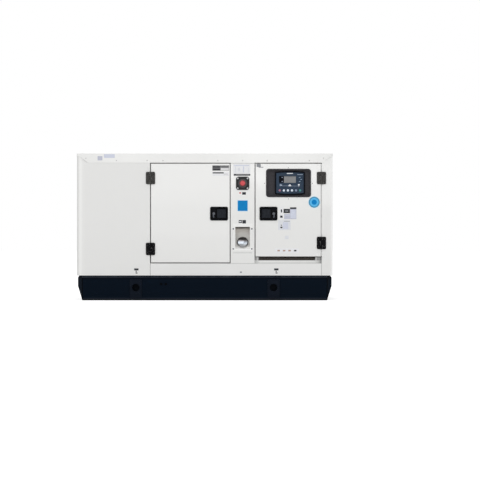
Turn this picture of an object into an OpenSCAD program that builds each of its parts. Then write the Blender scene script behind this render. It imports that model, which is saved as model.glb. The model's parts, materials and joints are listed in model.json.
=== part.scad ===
// Packaged gas turbine generator set in a sound-proof sheet-steel canopy.
// X runs along the set, the control side faces -Y, and Z = 0 is the ground under the skid.

/* [Canopy] */
// Length of the canopy walls
body_l = 1800; // [1700:10:2100]
// Depth of the canopy from front to back
body_w = 850; // [800:10:1000]
// Height from the ground to the roof
total_h = 1035; // [1000:5:1200]
// Thickness of the canopy sheet
sheet_t = 2; // [1.5:0.25:3]
// Height of the deep lips along the front and back of the roof
roof_lip_h = 66; // [50:2:90]
// Height of the shallow lips at the ends of the roof
roof_end_h = 20; // [14:1:30]
// Outer radius of the upright corners
corner_r = 14; // [8:1:20]
// Depth of the folded frames round the door openings
frame_d = 45; // [42:1:60]
// Width of the sealing lip round the door openings
lip_w = 20; // [16:1:30]

/* [Front layout] */
// Width of the opening for the engine door
engine_opening_w = 568; // [480:2:620]
// Width of the panel between the two doors
mullion_w = 168; // [160:2:220]
// Width of the opening for the control door
control_opening_w = 474; // [440:2:520]
// Width of the corner post beside the control door
post_w = 75; // [66:1:110]
// Height of the sill above the skid
sill_h = 85; // [60:1:110]
// Height of the strip and cable outlet under the control door
cable_h = 49; // [44:1:70]
// Height of the cable outlet itself
slot_h = 27; // [20:1:34]

/* [Doors] */
// Running gap round each door
door_gap = 7; // [6.9:0.1:9]
// Depth of the folded door pans
door_d = 28; // [24:1:30]
// Thickness of the sound lining on doors and walls
lining_t = 22; // [15:1:22]
// Furthest that the doors open, in degrees
door_swing = 110; // [90:5:120]

/* [Hinges] */
// Height of a hinge
hinge_h = 87; // [70:1:110]
// Reach of one hinge leaf from the pin
hinge_leaf_w = 32.5; // [28:0.5:40]
// Thickness of a hinge leaf
hinge_leaf_t = 5; // [3:0.5:7]
// Radius of the hinge knuckle
knuckle_r = 8; // [7:0.5:9]
// Radius of the hinge pin
hinge_pin_r = 3.5; // [2.5:0.25:4.5]

/* [Latches] */
// Width of the latch dish
latch_w = 126; // [120:1:145]
// Height of the latch dish
latch_h = 97; // [90:1:110]
// How far the latches sit below the middle of the engine door
latch_drop = 4; // [0:1:30]

/* [Skid] */
// Height of the skid
base_h = 175; // [165:5:220]
// Thickness of the skid plates
base_t = 5; // [4:1:8]
// Size of the upright chamfers at the skid corners
base_chamfer = 33; // [20:1:50]
// Height at which the ends start to slope inwards
base_slope_z = 101; // [80:1:120]
// Radius of the four lifting holes
lift_r = 27; // [20:1:32]
// Distance of the lifting holes from the middle
lift_x = 485; // [400:5:560]
// Width of the lifting doubler plates
lift_plate_w = 80; // [76:1:110]
// Thickness of the lifting doubler plates
lift_plate_t = 8; // [5:1:12]

/* [Controls] */
// Width of the window for the controller
window_w = 317; // [300:1:330]
// Height of the window for the controller
window_h = 200; // [192:1:210]
// Width of the controller
controller_w = 211; // [190:1:230]
// Height of the controller
controller_h = 168; // [150:1:175]
// Side of the emergency stop plate
stop_plate_w = 94; // [80:1:110]
// Diameter of the emergency stop button
stop_d = 45; // [38:1:50]
// Travel of the emergency stop button
stop_travel = 6; // [4:0.5:8]

/* [Fuel filler] */
// Width of the filler recess
filler_w = 102; // [96:1:110]
// Height of the filler recess
filler_h = 152; // [140:1:170]
// Depth of the recess at its top
filler_deep = 60; // [50:1:75]
// Depth of the recess at its foot
filler_shallow = 12; // [10:1:16]
// Diameter of the fuel cap
cap_d = 77; // [70:1:82]

/* [Turbine set] */
// Height of the shaft above the ground
shaft_z = 540; // [520:5:580]
// Radius of the recuperator drum
drum_r = 225; // [190:5:240]
// Length of the recuperator drum
drum_l = 430; // [380:5:460]
// Radius over the generator fins
gen_r = 150; // [130:5:170]
// Length of the generator
gen_l = 330; // [300:5:350]
// Number of cooling fins on the generator
gen_fins = 11; // [7:1:14]

/* [Grilles] */
// Width of the air openings in the end walls
grille_w = 560; // [480:5:620]
// Height of the air inlet in the right-hand end wall
inlet_h = 380; // [300:5:440]
// Height of the air outlet in the left-hand end wall
outlet_h = 560; // [460:5:600]
// Number of inlet louvre blades
louvres = 11; // [7:1:14]
// Number of upright bars in the outlet guard
guard_bars = 18; // [12:1:22]

/* [Bays] */
// Width of the distribution cabinet
cabinet_w = 280; // [220:5:300]
// Height of the distribution cabinet
cabinet_h = 380; // [300:5:420]
// Length of the battery
battery_l = 220; // [180:5:240]
// Width of the battery
battery_w = 180; // [150:5:200]
// Height of the battery
battery_h = 190; // [150:5:210]

/* [Hidden] */
$fn = 64;

// Clearances
seat = 0.3;          // between pieces that nest
run = 0.05;          // between a pin and its bore
moving = 5.5;        // between a moving piece and what it passes

// Levels and stations, all measured from the middle of the set
half_l = body_l / 2;
half_w = body_w / 2;
wall_top = total_h - sheet_t;
lip_z = total_h - roof_lip_h;                        // foot of the roof lip
door_top = lip_z - door_gap;
sill_z = base_h + sill_h;
plain_w = body_l - engine_opening_w - mullion_w - control_opening_w - post_w;
engine_x0 = -half_l + plain_w;                       // left edge of the engine opening
engine_x1 = engine_x0 + engine_opening_w;
control_x0 = engine_x1 + mullion_w;                  // left edge of the control opening
control_x1 = control_x0 + control_opening_w;
mullion_x = (engine_x1 + control_x0) / 2;
engine_door_z = sill_z + door_gap;
control_door_z = sill_z + cable_h;
corner_wrap = 60;                                    // reach of the corner pieces round the ends
seal_t = frame_d - sheet_t - door_d - moving;

engine_door_x0 = engine_x0 + door_gap;
engine_door_x1 = engine_x1 - door_gap;
control_door_x0 = control_x0 + door_gap;
control_door_x1 = control_x1 - door_gap;

// Hinge pins stand in front of the panels, over the middle of the gap
pin_out = knuckle_r + 1;
engine_pin_x = engine_x0 + door_gap / 2;
control_pin_x = control_x1 - door_gap / 2;
hinge_from_top = 101;                                // door corner to hinge centre
hinge_from_foot = 95;
hinge_zs_engine = [door_top - hinge_from_top, engine_door_z + hinge_from_foot];
hinge_zs_control = [door_top - hinge_from_top, control_door_z + hinge_from_foot];

// Places of the fittings on the front
engine_latch_in = 75;                                // door edge to the middle of the latch
control_latch_in = 91;
window_drop = 36;                                    // door corner to the window
window_off = 2;                                      // window from the middle of the opening
controller_off = 10;                                 // controller from the middle of the window
stop_drop = 138;                                     // door corner to the middle of the stop button
filler_rise = 105;                                   // sill to the filler recess
latch_z = (engine_door_z + door_top) / 2 - latch_drop;
engine_latch_x = engine_door_x1 - engine_latch_in;
control_latch_x = control_door_x0 + control_latch_in;
window_x = (control_x0 + control_x1) / 2 + window_off;
window_z = door_top - window_h / 2 - window_drop;
controller_x = window_x + controller_off;
stop_z = door_top - stop_drop;
filler_z = sill_z + filler_h / 2 + filler_rise;

steel = "#e4e4e2";
skid_black = "#10161f";
plastic_black = "#17181b";
foam_grey = "#3a3c40";

// Places children on the front: y = 0 on the outer face, rising inwards
module front() translate([0, -half_w, 0]) children();
// The same for the back
module rear() mirror([0, 1, 0]) front() children();

module box(low, high) translate(low) cube(high - low);

module rounded(w, h, r) {
    square([w - 2 * r, h], center = true);
    square([w, h - 2 * r], center = true);
    for (x = [-1, 1], y = [-1, 1]) translate([x * (w / 2 - r), y * (h / 2 - r)]) circle(r);
}

// A round-cornered plate that stands in the X-Z plane, from y0 to y1
module round_plate(w, h, r, y0, y1)
    translate([0, y1, 0]) rotate([90, 0, 0]) linear_extrude(y1 - y0) rounded(w, h, r);

// A cylinder along Y
module rod_y(r, y0, y1) translate([0, y1, 0]) rotate([90, 0, 0]) cylinder(r = r, h = y1 - y0);

// A turned shape about X, with points [radius, x]
module turned_x(points)
    translate([0, 0, shaft_z]) rotate([0, 90, 0]) rotate_extrude($fn = 96) polygon(points);

// Skid

bevel_h = 15;                                        // bevel along the top edge of the skid
bevel_in = 10;
skid_x = half_l - 5;
skid_y = half_w - 2;
flange = 60;                                         // width of the skid's inward flanges
skid_split = skid_x - base_chamfer;                  // joint between rails and ends
skid_inner_x = skid_split - flange;
skid_inner_y = skid_y - flange;
lift_z = 90;
drain_r = 7;
drain_z = 115;
drain_xs = [-306, -274];
strip_h = 14;                                        // doubler strip along the foot of each rail

// The outer shape of the skid, with every face moved in by off
module skid_block(off, low = 0, high = base_h) {
    x = skid_x - off;
    y = skid_y - off;
    c = base_chamfer - 0.586 * off;
    intersection() {
        translate([0, 0, low]) linear_extrude(high - low) polygon([
            [-x + c, -y], [x - c, -y], [x, -y + c], [x, y - c],
            [x - c, y], [-x + c, y], [-x, y - c], [-x, -y + c]]);
        translate([0, half_w, 0]) rotate([90, 0, 0]) linear_extrude(body_w) polygon([
            [-x + base_chamfer, 0], [x - base_chamfer, 0], [x, base_slope_z], [x, base_h - bevel_h],
            [x - bevel_in, base_h], [-x + bevel_in, base_h], [-x, base_h - bevel_h], [-x, base_slope_z]]);
        translate([-half_l, 0, 0]) rotate([90, 0, 90]) linear_extrude(body_l) polygon([
            [-y, 0], [y, 0], [y, base_h - bevel_h], [y - bevel_in, base_h],
            [-y + bevel_in, base_h], [-y, base_h - bevel_h]]);
    }
}

// A folded strip that runs the length of a rail, from its outline in Y and Z
module along_rail(points) translate([-skid_split, 0, 0]) rotate([90, 0, 90])
    linear_extrude(2 * skid_split) polygon(points);

module skid_rail() {
    y = -skid_y;
    along_rail([[y, 0], [y + base_t, 0], [y + base_t, base_h - bevel_h], [y + bevel_in + base_t, base_h],
        [y + bevel_in, base_h], [y, base_h - bevel_h]]);
    box([-skid_split + 25, -half_w, 0], [skid_split - 25, -half_w + 3, strip_h]);
}

module base_flanges() color(skid_black) for (side = [0, 1]) mirror([0, side, 0]) {
    y = -skid_y + base_t;
    along_rail([[y, 0], [-skid_inner_y, 0], [-skid_inner_y, base_t], [y, base_t]]);
    along_rail([[y + bevel_in, base_h], [y + bevel_in * (1 - base_t / bevel_h), base_h - base_t],
        [-skid_inner_y, base_h - base_t], [-skid_inner_y, base_h]]);
}

module base_front_rail() color(skid_black)
    difference() {
        skid_rail();
        for (x = [-lift_x, lift_x]) translate([x, -half_w, lift_z]) rod_y(lift_r, -1, base_t + 4);
        for (x = drain_xs) translate([x, -half_w, drain_z]) rod_y(drain_r, -1, base_t + 4);
    }

module base_rear_rail() color(skid_black)
    difference() {
        mirror([0, 1, 0]) skid_rail();
        for (x = [-lift_x, lift_x]) translate([x, half_w, lift_z]) rod_y(lift_r, -base_t - 4, 1);
    }

module base_left_end() color(skid_black)
    difference() {
        skid_block(0);
        skid_block(base_t, base_t, base_h - base_t);
        box([-skid_split, -half_w, -1], [half_l, -skid_inner_y, base_h + 1]);
        box([-skid_split, skid_inner_y, -1], [half_l, half_w, base_h + 1]);
        box([-skid_inner_x, -half_w - 1, -1], [half_l, half_w + 1, base_h + 1]);
    }

module base_right_end() color(skid_black) mirror([1, 0, 0]) base_left_end();

module lifting_plates() color("#171c26")
    for (x = [-lift_x, lift_x], side = [0, 1]) mirror([0, side, 0]) translate([x, -half_w + 2, 0])
        difference() {
            translate([0, 0, (strip_h + base_h - 23) / 2])
                round_plate(lift_plate_w, base_h - strip_h - 33, 6, -lift_plate_t, 0);
            translate([0, 0, lift_z]) rod_y(lift_r, -lift_plate_t - 1, 1);
        }

tank_l = 1120;
tank_w = body_w - 4 - 2 * flange;
tank_h = base_h - 15;
tank_t = 4;

module fuel_tank() color("#20242b")
    difference() {
        box([-tank_l / 2, -tank_w / 2, 0], [tank_l / 2, tank_w / 2, tank_h]);
        box([-tank_l / 2 + tank_t, -tank_w / 2 + tank_t, tank_t],
            [tank_l / 2 - tank_t, tank_w / 2 - tank_t, tank_h - tank_t]);
    }

deck_t = 4;
deck_top = base_h + deck_t;

module deck() color("#2a2e35")
    difference() {
        box([-half_l + 30, -half_w + frame_d + 1, base_h], [half_l - 30, half_w - frame_d - 1, deck_top]);
        translate([mullion_x, pipe_depth - half_w, base_h - 1]) cylinder(r = 32, h = deck_t + 2);
    }

// Walls

// A corner column seen from above, from the front to the end wall, for x below zero
module corner_sheet(x_to, z0, z1) {
    box([-half_l + corner_r, 0, z0], [x_to, sheet_t, z1]);
    translate([-half_l + corner_r, corner_r, z0]) rotate([0, 0, 180])
        rotate_extrude(angle = 90) translate([corner_r - sheet_t, 0]) square([sheet_t, z1 - z0]);
    box([-half_l, corner_r, z0], [-half_l + sheet_t, corner_wrap, z1]);
}

// The folded jamb and sealing lip beside an opening; side is 1 if the opening is towards +X
module jamb(x, side, z0, z1) {
    inner = x - side * sheet_t;
    box([min(x, inner), 0, z0], [max(x, inner), frame_d, z1]);
    far = x + side * lip_w;
    box([min(far, inner), frame_d - sheet_t, z0], [max(far, inner), frame_d, z1]);
}

// The foot flange under a panel
module foot(x0, x1, z) box([x0, 0, z], [x1, frame_d - 10, z + sheet_t]);

module plain_panel() {
    corner_sheet(engine_x0, base_h, wall_top);
    jamb(engine_x0, 1, base_h, lip_z);
    foot(-half_l + corner_r, engine_x0, base_h);
}

module post() {
    mirror([1, 0, 0]) corner_sheet(-control_x1, base_h, wall_top);
    jamb(control_x1, -1, base_h, lip_z);
    foot(control_x1, half_l - corner_r, base_h);
}

module mullion() {
    box([engine_x1, 0, sill_z], [control_x0, sheet_t, lip_z]);
    jamb(engine_x1, -1, sill_z, lip_z);
    jamb(control_x0, 1, sill_z, lip_z);
}

module sill(control_lip) {
    box([engine_x0, 0, base_h], [control_x1, sheet_t, sill_z]);
    foot(engine_x0, control_x1, base_h);
    box([engine_x0, 0, sill_z - sheet_t], [control_x1, frame_d - sheet_t, sill_z]);
    top = sill_z + lip_w;
    box([engine_x0 + lip_w, frame_d - sheet_t, sill_z - sheet_t], [engine_x1 - lip_w, frame_d, top]);
    if (control_lip)
        box([control_x0 + lip_w, frame_d - sheet_t, sill_z - sheet_t], [control_x1 - lip_w, frame_d, top]);
}

module header() {
    box([engine_x0, 0, lip_z], [control_x1, sheet_t, wall_top]);
    box([engine_x0, 0, lip_z], [control_x1, frame_d - sheet_t, lip_z + sheet_t]);
    low = lip_z - lip_w;
    box([engine_x0 + lip_w, frame_d - sheet_t, low], [engine_x1 - lip_w, frame_d, lip_z + sheet_t]);
    box([control_x0 + lip_w, frame_d - sheet_t, low], [control_x1 - lip_w, frame_d, lip_z + sheet_t]);
}

module front_plain_panel() color(steel) front() plain_panel();

module front_mullion() color(steel) front()
    difference() {
        mullion();
        translate([mullion_x, 0, filler_z])
            box([-filler_w / 2 - sheet_t - seat, -1, -filler_h / 2 - sheet_t - seat],
                [filler_w / 2 + sheet_t + seat, sheet_t + 1, filler_h / 2 + sheet_t + seat]);
        translate([mullion_x, 0, stop_z]) rod_y(12, -1, sheet_t + 1);
    }

module front_sill() color(steel) front() sill(false);
module front_post() color(steel) front() post();
module front_header() color(steel) front() header();
module rear_plain_panel() color(steel) rear() plain_panel();
module rear_mullion() color(steel) rear() mullion();
module rear_sill() color(steel) rear() sill(true);
module rear_post() color(steel) rear() post();
module rear_header() color(steel) rear() header();

// The strip under the control door and the two brackets beside the cable outlet
left_bracket_w = 31;
right_bracket_w = 48;
module cable_outlet() color(steel) front() {
    strip_top = control_door_z - slot_h;
    bracket_top = control_door_z - moving;
    box([control_x0, 0, sill_z], [control_x1, sheet_t, strip_top]);
    box([control_x0, 0, strip_top - sheet_t], [control_x1, frame_d - sheet_t, strip_top]);
    box([control_x0, 0, strip_top], [control_x0 + left_bracket_w, sheet_t, bracket_top]);
    box([control_x1 - right_bracket_w, 0, strip_top], [control_x1, sheet_t, bracket_top]);
}

// An end wall for x below zero, with a framed opening
module end_sheet(opening_z, opening_h) {
    y = half_w - corner_wrap;
    difference() {
        union() {
            box([-half_l, -y, base_h], [-half_l + sheet_t, y, wall_top]);
            for (s = [-1, 1]) translate([0, s * (y - sheet_t / 2), 0])
                box([-half_l, -sheet_t / 2, base_h], [-half_l + 25, sheet_t / 2, wall_top]);
            box([-half_l, -y, base_h], [-half_l + 25, y, base_h + sheet_t]);
            box([-half_l, -y, wall_top - sheet_t], [-half_l + 25, y, wall_top]);
        }
        translate([-half_l, 0, opening_z])
            box([-1, -grille_w / 2, 0], [sheet_t + 1, grille_w / 2, opening_h]);
    }
}

outlet_z = 300;
inlet_z = 400;
module left_end_wall() color(steel) end_sheet(outlet_z, outlet_h);
module right_end_wall() color(steel) mirror([1, 0, 0]) end_sheet(inlet_z, inlet_h);

// The frame of a grille, behind the end wall for x below zero
module grille_frame(z, h) {
    x = -half_l + sheet_t;
    difference() {
        box([x, -grille_w / 2 - 15, z - 15], [x + 12, grille_w / 2 + 15, z + h + 15]);
        box([x - 1, -grille_w / 2, z], [x + 13, grille_w / 2, z + h]);
    }
}

module outlet_guard() color("#9b9d9e") {
    grille_frame(outlet_z, outlet_h);
    pitch = grille_w / (guard_bars + 1);
    for (i = [1 : guard_bars]) translate([-half_l + sheet_t + 6, i * pitch - grille_w / 2, outlet_z - 3])
        cylinder(r = 4, h = outlet_h + 6, $fn = 24);
    for (z = [outlet_z + outlet_h / 3, outlet_z + outlet_h * 2 / 3])
        translate([-half_l + sheet_t + 6, -grille_w / 2 - 3, z]) rotate([-90, 0, 0])
            cylinder(r = 3, h = grille_w + 6, $fn = 24);
}

module inlet_louvres() color(steel) mirror([1, 0, 0]) {
    grille_frame(inlet_z, inlet_h);
    pitch = inlet_h / louvres;
    for (i = [0 : louvres - 1])
        translate([-half_l + sheet_t, grille_w / 2 + 1, inlet_z + i * pitch + 4])
            rotate([90, 0, 0]) linear_extrude(grille_w + 2)
                polygon([[0, 0], [2, -2], [12, pitch * 0.62], [12, pitch * 0.62 + 3]]);
}

// The roof is one pressed cap with shallow end lips and deep side lips, cut away at their ends
module roof() color("#ecebe8") {
    r = corner_r + sheet_t;
    difference() {
        translate([0, 0, total_h - roof_end_h]) linear_extrude(roof_end_h)
            rounded(body_l + 2 * sheet_t, body_w + 2 * sheet_t, r);
        translate([0, 0, total_h - roof_end_h - 1]) linear_extrude(roof_end_h + 1 - sheet_t)
            rounded(body_l, body_w, corner_r);
    }
    top = total_h - roof_end_h;
    x0 = -half_l + corner_r;
    x1 = half_l - corner_r;
    for (side = [0, 1]) mirror([0, side, 0]) front()
        rotate([90, 0, 0]) linear_extrude(sheet_t) polygon([
            [x0, top + 1], [x0, top], [x0 + 58, lip_z + 5], [x0 + 72, lip_z],
            [control_x1 + 1, lip_z], [x1, top], [x1, top + 1]]);
}

// Pieces round the doors

module seal_ring(x0, x1, z0, z1, w) {
    y0 = frame_d - sheet_t - seal_t;
    y1 = frame_d - sheet_t;
    difference() {
        box([x0, y0, z0], [x1, y1, z1]);
        box([x0 + w, y0 - 1, z0 + w], [x1 - w, y1 + 1, z1 - w]);
    }
}

seal_in = 9;                                         // opening edge to the seal
module door_seals() color("#1b1b1c") front() {
    w = lip_w - seal_in;
    seal_ring(engine_x0 + seal_in, engine_x1 - seal_in, sill_z + seal_in, lip_z - seal_in, w);
    difference() {
        seal_ring(control_x0 + seal_in, control_x1 - seal_in, control_door_z - w - 5, lip_z - seal_in, w);
        box([control_x0, 0, 0], [control_x1, frame_d, control_door_z + 5]);
    }
}

module wall_lining() color(foam_grey) {
    y = half_w - frame_d - 3;
    box([-half_l + 30, -y, wall_top - lining_t], [half_l - 30, y, wall_top]);
    for (side = [0, 1]) mirror([0, side, 0]) front()
        box([-half_l + corner_r + 2, sheet_t, base_h + 10],
            [engine_x0 - sheet_t, sheet_t + lining_t, wall_top - 10]);
}

// Leaves of a hinge at the origin: pin along Z, leaf towards +X, face of the panel at y = pin_out
module leaf_plate(z0, z1, from) difference() {
    intersection() {
        round_plate(2 * hinge_leaf_w, hinge_h, 9, pin_out - hinge_leaf_t, pin_out);
        box([from, 0, z0], [hinge_leaf_w + 1, pin_out + 1, z1]);
    }
    for (z = [-1, 1]) translate([hinge_leaf_w - 11, 0, z * hinge_h * 0.3])
        rod_y(4.5, pin_out - hinge_leaf_t - 1, pin_out - 2);
}

hinge_third = hinge_h / 6;                           // half of the middle knuckle's height
leaf_from = knuckle_r + 1.5;

module knuckle(z0, z1) {
    translate([0, 0, z0]) cylinder(r = knuckle_r, h = z1 - z0);
    box([0, 0, z0], [leaf_from, knuckle_r, z1]);
}

// Leaf on the moving door, with the two outer knuckles
module door_leaf()
    difference() {
        union() {
            leaf_plate(-hinge_h / 2, hinge_h / 2, leaf_from);
            for (s = [0, 1]) mirror([0, 0, s]) {
                leaf_plate(hinge_third + 0.5, hinge_h / 2, 2);
                knuckle(hinge_third + 0.5, hinge_h / 2);
            }
        }
        translate([0, 0, -hinge_h]) cylinder(r = hinge_pin_r + run, h = 2 * hinge_h);
    }

// Leaf on the frame, with the middle knuckle and the pin
module frame_leaf() mirror([1, 0, 0]) {
    leaf_plate(-hinge_h / 2, hinge_h / 2, leaf_from);
    leaf_plate(-hinge_third + 0.5, hinge_third - 0.5, 2);
    knuckle(-hinge_third + 0.5, hinge_third - 0.5);
    translate([0, 0, -hinge_h / 2 - 1]) cylinder(r = hinge_pin_r, h = hinge_h + 2);
}

// Places hinges on the front, turned so that the door lies towards +X (side 0) or -X (side 1)
module hinge_places(x, zs, side)
    for (z = zs) translate([x, -half_w - pin_out, z]) mirror([side, 0, 0]) children();

module frame_hinge_leaves() color(plastic_black) {
    hinge_places(engine_pin_x, hinge_zs_engine, 0) frame_leaf();
    hinge_places(control_pin_x, hinge_zs_control, 1) frame_leaf();
}

module engine_door_hinges() color(plastic_black)
    hinge_places(engine_pin_x, hinge_zs_engine, 0) door_leaf();

module control_door_hinges() color(plastic_black)
    hinge_places(control_pin_x, hinge_zs_control, 1) door_leaf();

module door_pan(x0, x1, z0, z1) {
    difference() {
        box([x0, 0, z0], [x1, door_d, z1]);
        box([x0 + sheet_t, sheet_t, z0 + sheet_t], [x1 - sheet_t, door_d - sheet_t, z1 - sheet_t]);
        box([x0 + 16, door_d - sheet_t - 1, z0 + 16], [x1 - 16, door_d + 1, z1 - 16]);
    }
}

// The lining inside a door pan
module door_foam(x0, x1, z0, z1)
    box([x0 + sheet_t, sheet_t, z0 + sheet_t], [x1 - sheet_t, sheet_t + lining_t, z1 - sheet_t]);

// Latch dish: face at y = 0, paddle towards +X, key barrel towards -X
dish_proud = 4;
dish_d = 22;
rim_w = 9;
shelf_y = 6;                                         // depth of the shallow part of the dish
pocket_x0 = -20;
pocket_x1 = latch_w / 2 - 11;
pocket_h = latch_h - 2 * rim_w - 6;
key_x = -latch_w / 2 + 26;
paddle_hinge_x = pocket_x1 - moving - 3;
paddle_pin_r = 2.5;
paddle_pin_y = 2;

module latch_hole() round_plate(latch_w - 12, latch_h - 12, 8, -1, door_d + 1);

module latch_dish() {
    difference() {
        union() {
            round_plate(latch_w, latch_h, 11, -dish_proud, 0);
            round_plate(latch_w - 12 - 2 * seat, latch_h - 12 - 2 * seat, 8 - seat, 0, dish_d);
        }
        difference() {
            union() {
                round_plate(latch_w - 2 * rim_w, latch_h - 2 * rim_w, 6, -dish_proud - 1, shelf_y);
                box([pocket_x0, 0, -pocket_h / 2], [pocket_x1, dish_d - sheet_t, pocket_h / 2]);
            }
            translate([paddle_hinge_x, paddle_pin_y, -latch_h / 2])
                cylinder(r = paddle_pin_r, h = latch_h, $fn = 32);
        }
    }
    difference() {
        translate([key_x, 0, 0]) {
            rod_y(15, -1, shelf_y + 1);
            rod_y(9, -dish_proud - 1, 0);
        }
        translate([key_x, 0, 0]) box([-1.2, -dish_proud - 2, -5], [1.2, -dish_proud + 2, 5]);
    }
}

module latch_paddle() {
    h = pocket_h / 2 - moving;
    x0 = pocket_x0 + moving;
    difference() {
        union() {
            box([x0, -dish_proud, -h], [paddle_hinge_x, 1, h]);
            translate([paddle_hinge_x, paddle_pin_y, -h]) cylinder(r = 5, h = 2 * h, $fn = 48);
            box([x0, -dish_proud, -h], [x0 + 4, 8, h]);
            box([x0, -dish_proud - 2, h - 6], [paddle_hinge_x, 0, h]);
        }
        translate([paddle_hinge_x, paddle_pin_y, -h - 1])
            cylinder(r = paddle_pin_r + run, h = 2 * h + 2, $fn = 32);
    }
}

module engine_door() color(steel) front()
    difference() {
        door_pan(engine_door_x0, engine_door_x1, engine_door_z, door_top);
        translate([engine_latch_x, 0, latch_z]) latch_hole();
    }

module engine_door_lining() color(foam_grey) front()
    difference() {
        door_foam(engine_door_x0, engine_door_x1, engine_door_z, door_top);
        translate([engine_latch_x, 0, latch_z]) latch_hole();
    }

module engine_latch() color(plastic_black) front() translate([engine_latch_x, 0, latch_z]) latch_dish();
module engine_paddle() color("#2b2d30") front() translate([engine_latch_x, 0, latch_z]) latch_paddle();

// The window is an opening in the door with a rubber trim and the control panel behind it
trim_w = 9;
panel_back = 12;                                     // depth of the control panel behind the door skin
controller_face = 0;                                 // depth of the controller's film
module window_hole(grow) translate([window_x, 0, window_z])
    round_plate(window_w - 2 * trim_w + grow, window_h - 2 * trim_w + grow, 14, -1, door_d + 1);

module control_door() color(steel) front()
    difference() {
        door_pan(control_door_x0, control_door_x1, control_door_z, door_top);
        translate([control_latch_x, 0, latch_z]) latch_hole();
        window_hole(0);
    }

module control_door_lining() color(foam_grey) front()
    difference() {
        door_foam(control_door_x0, control_door_x1, control_door_z, door_top);
        translate([control_latch_x, 0, latch_z]) latch_hole();
        translate([window_x, 0, window_z]) box([-window_w / 2 + 3, 0, -window_h / 2 + 3],
            [window_w / 2 - 3, door_d, window_h / 2 - 3]);
    }

module control_latch() color(plastic_black) front()
    translate([control_latch_x, 0, latch_z]) mirror([1, 0, 0]) latch_dish();
module control_paddle() color("#2b2d30") front()
    translate([control_latch_x, 0, latch_z]) mirror([1, 0, 0]) latch_paddle();

module window_trim() color("#141517") front() translate([window_x, 0, window_z])
    difference() {
        round_plate(window_w, window_h, 21, -4, 0);
        round_plate(window_w - 2 * trim_w - 4, window_h - 2 * trim_w - 4, 13, -5, 1);
    }

panel_w = window_w - 10;
panel_h = window_h - 10;

module control_panel() color("#3b393d") front() translate([window_x, 0, window_z])
    difference() {
        box([-panel_w / 2, sheet_t, -panel_h / 2], [panel_w / 2, 70, panel_h / 2]);
        box([-panel_w / 2 + 2, panel_back + 3, -panel_h / 2 + 2], [panel_w / 2 - 2, 68, panel_h / 2 - 2]);
        box([-panel_w / 2 + 2, sheet_t - 1, -panel_h / 2 + 2],
            [panel_w / 2 - 2, panel_back, panel_h / 2 - 2]);
        translate([controller_off, 0, 0])
            box([-controller_w / 2 + 8, panel_back - 1, -controller_h / 2 + 8],
                [controller_w / 2 - 8, panel_back + 4, controller_h / 2 - 8]);
    }

// The face of the controller has upper and lower edges that arch a little
arch_r = 900;
module arched_plate(w, h, r, y0, y1)
    translate([0, y1, 0]) rotate([90, 0, 0]) linear_extrude(y1 - y0) intersection() {
        rounded(w, h, r);
        translate([0, h / 2 - arch_r]) circle(r = arch_r, $fn = 720);
        translate([0, arch_r - h / 2]) circle(r = arch_r, $fn = 720);
    }

module controller() color("#28384b") front() translate([controller_x, 0, window_z]) {
    difference() {
        arched_plate(controller_w, controller_h, 14, panel_back - 14, panel_back);
        arched_plate(controller_w - 18, controller_h - 18, 8, panel_back - 15, controller_face);
    }
    box([-controller_w / 2 + 9, panel_back, -controller_h / 2 + 9],
        [controller_w / 2 - 9, panel_back + 40, controller_h / 2 - 9]);
}

module controller_screen() color("#96918a") front() translate([controller_x, controller_face, window_z])
    translate([0, 0, 25]) round_plate(84, 49, 3, -1, 0);

key_pitch = 28.6;
module controller_keys() color("#c9c8c8") front() translate([controller_x, controller_face, window_z]) {
    for (i = [0 : 5]) translate([(i - 2.5) * key_pitch, 0, -52]) rod_y(8, -2.5, 0);
    translate([-64, 0, 25]) round_plate(24, 44, 4, -2, 0);
}

// Emergency stop

module stop_plate() color(plastic_black) front() translate([mullion_x, 0, stop_z])
    difference() {
        union() {
            round_plate(stop_plate_w, stop_plate_w, 12, -4, 0);
            rod_y(31, -11, 0);
            rod_y(11.5, 0, 34);
        }
        rod_y(9 + run, -12, 30);
    }

head_back = 11 + stop_travel + 5.3;
module stop_button() color("#c8252b") front() translate([mullion_x, 0, stop_z]) {
    rod_y(9, -head_back - 2, 20);
    translate([0, -head_back, 0]) rotate([90, 0, 0]) rotate_extrude()
        polygon([[0, 0], [stop_d / 2 - 3, 0], [stop_d / 2, 3], [stop_d / 2, 7], [stop_d / 2 - 2, 10.5],
            [stop_d / 2 - 6, 13], [stop_d / 4, 14.5], [0, 15]]);
}

// Fuel filler: a recess with a sloping back that carries the neck and cap

slope = atan((filler_deep - filler_shallow) / filler_h);
neck_r = 28;
cap_y = (filler_deep + filler_shallow) / 2 - 10;     // depth of the neck's root on the sloping plate
cap_z = filler_z - 34;
pipe_depth = 86;                                     // depth of the filler pipe behind the front face
pipe_run = (pipe_depth - plate_y(cap_z)) / cos(slope);
elbow_z = cap_z - pipe_run * sin(slope);

// Side outline of the recess; grow moves the walls out
module recess_outline(grow) {
    z0 = filler_z - filler_h / 2 - grow;
    z1 = filler_z + filler_h / 2 + grow;
    polygon([[-0.01 - grow, z0], [filler_shallow + grow, z0],
        [filler_deep + grow, z1], [-0.01 - grow, z1]]);
}

module recess_solid(w, grow) translate([mullion_x - w / 2, 0, 0]) rotate([90, 0, 90])
    linear_extrude(w) recess_outline(grow);

// Depth of the sloping plate at height z
function plate_y(z) = filler_shallow + tan(slope) * (z - filler_z + filler_h / 2);

// Places children on the sloping plate, with Z along its outward normal
module on_slope() front() translate([mullion_x, plate_y(cap_z), cap_z]) rotate([90 - slope, 0, 0]) children();

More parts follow.
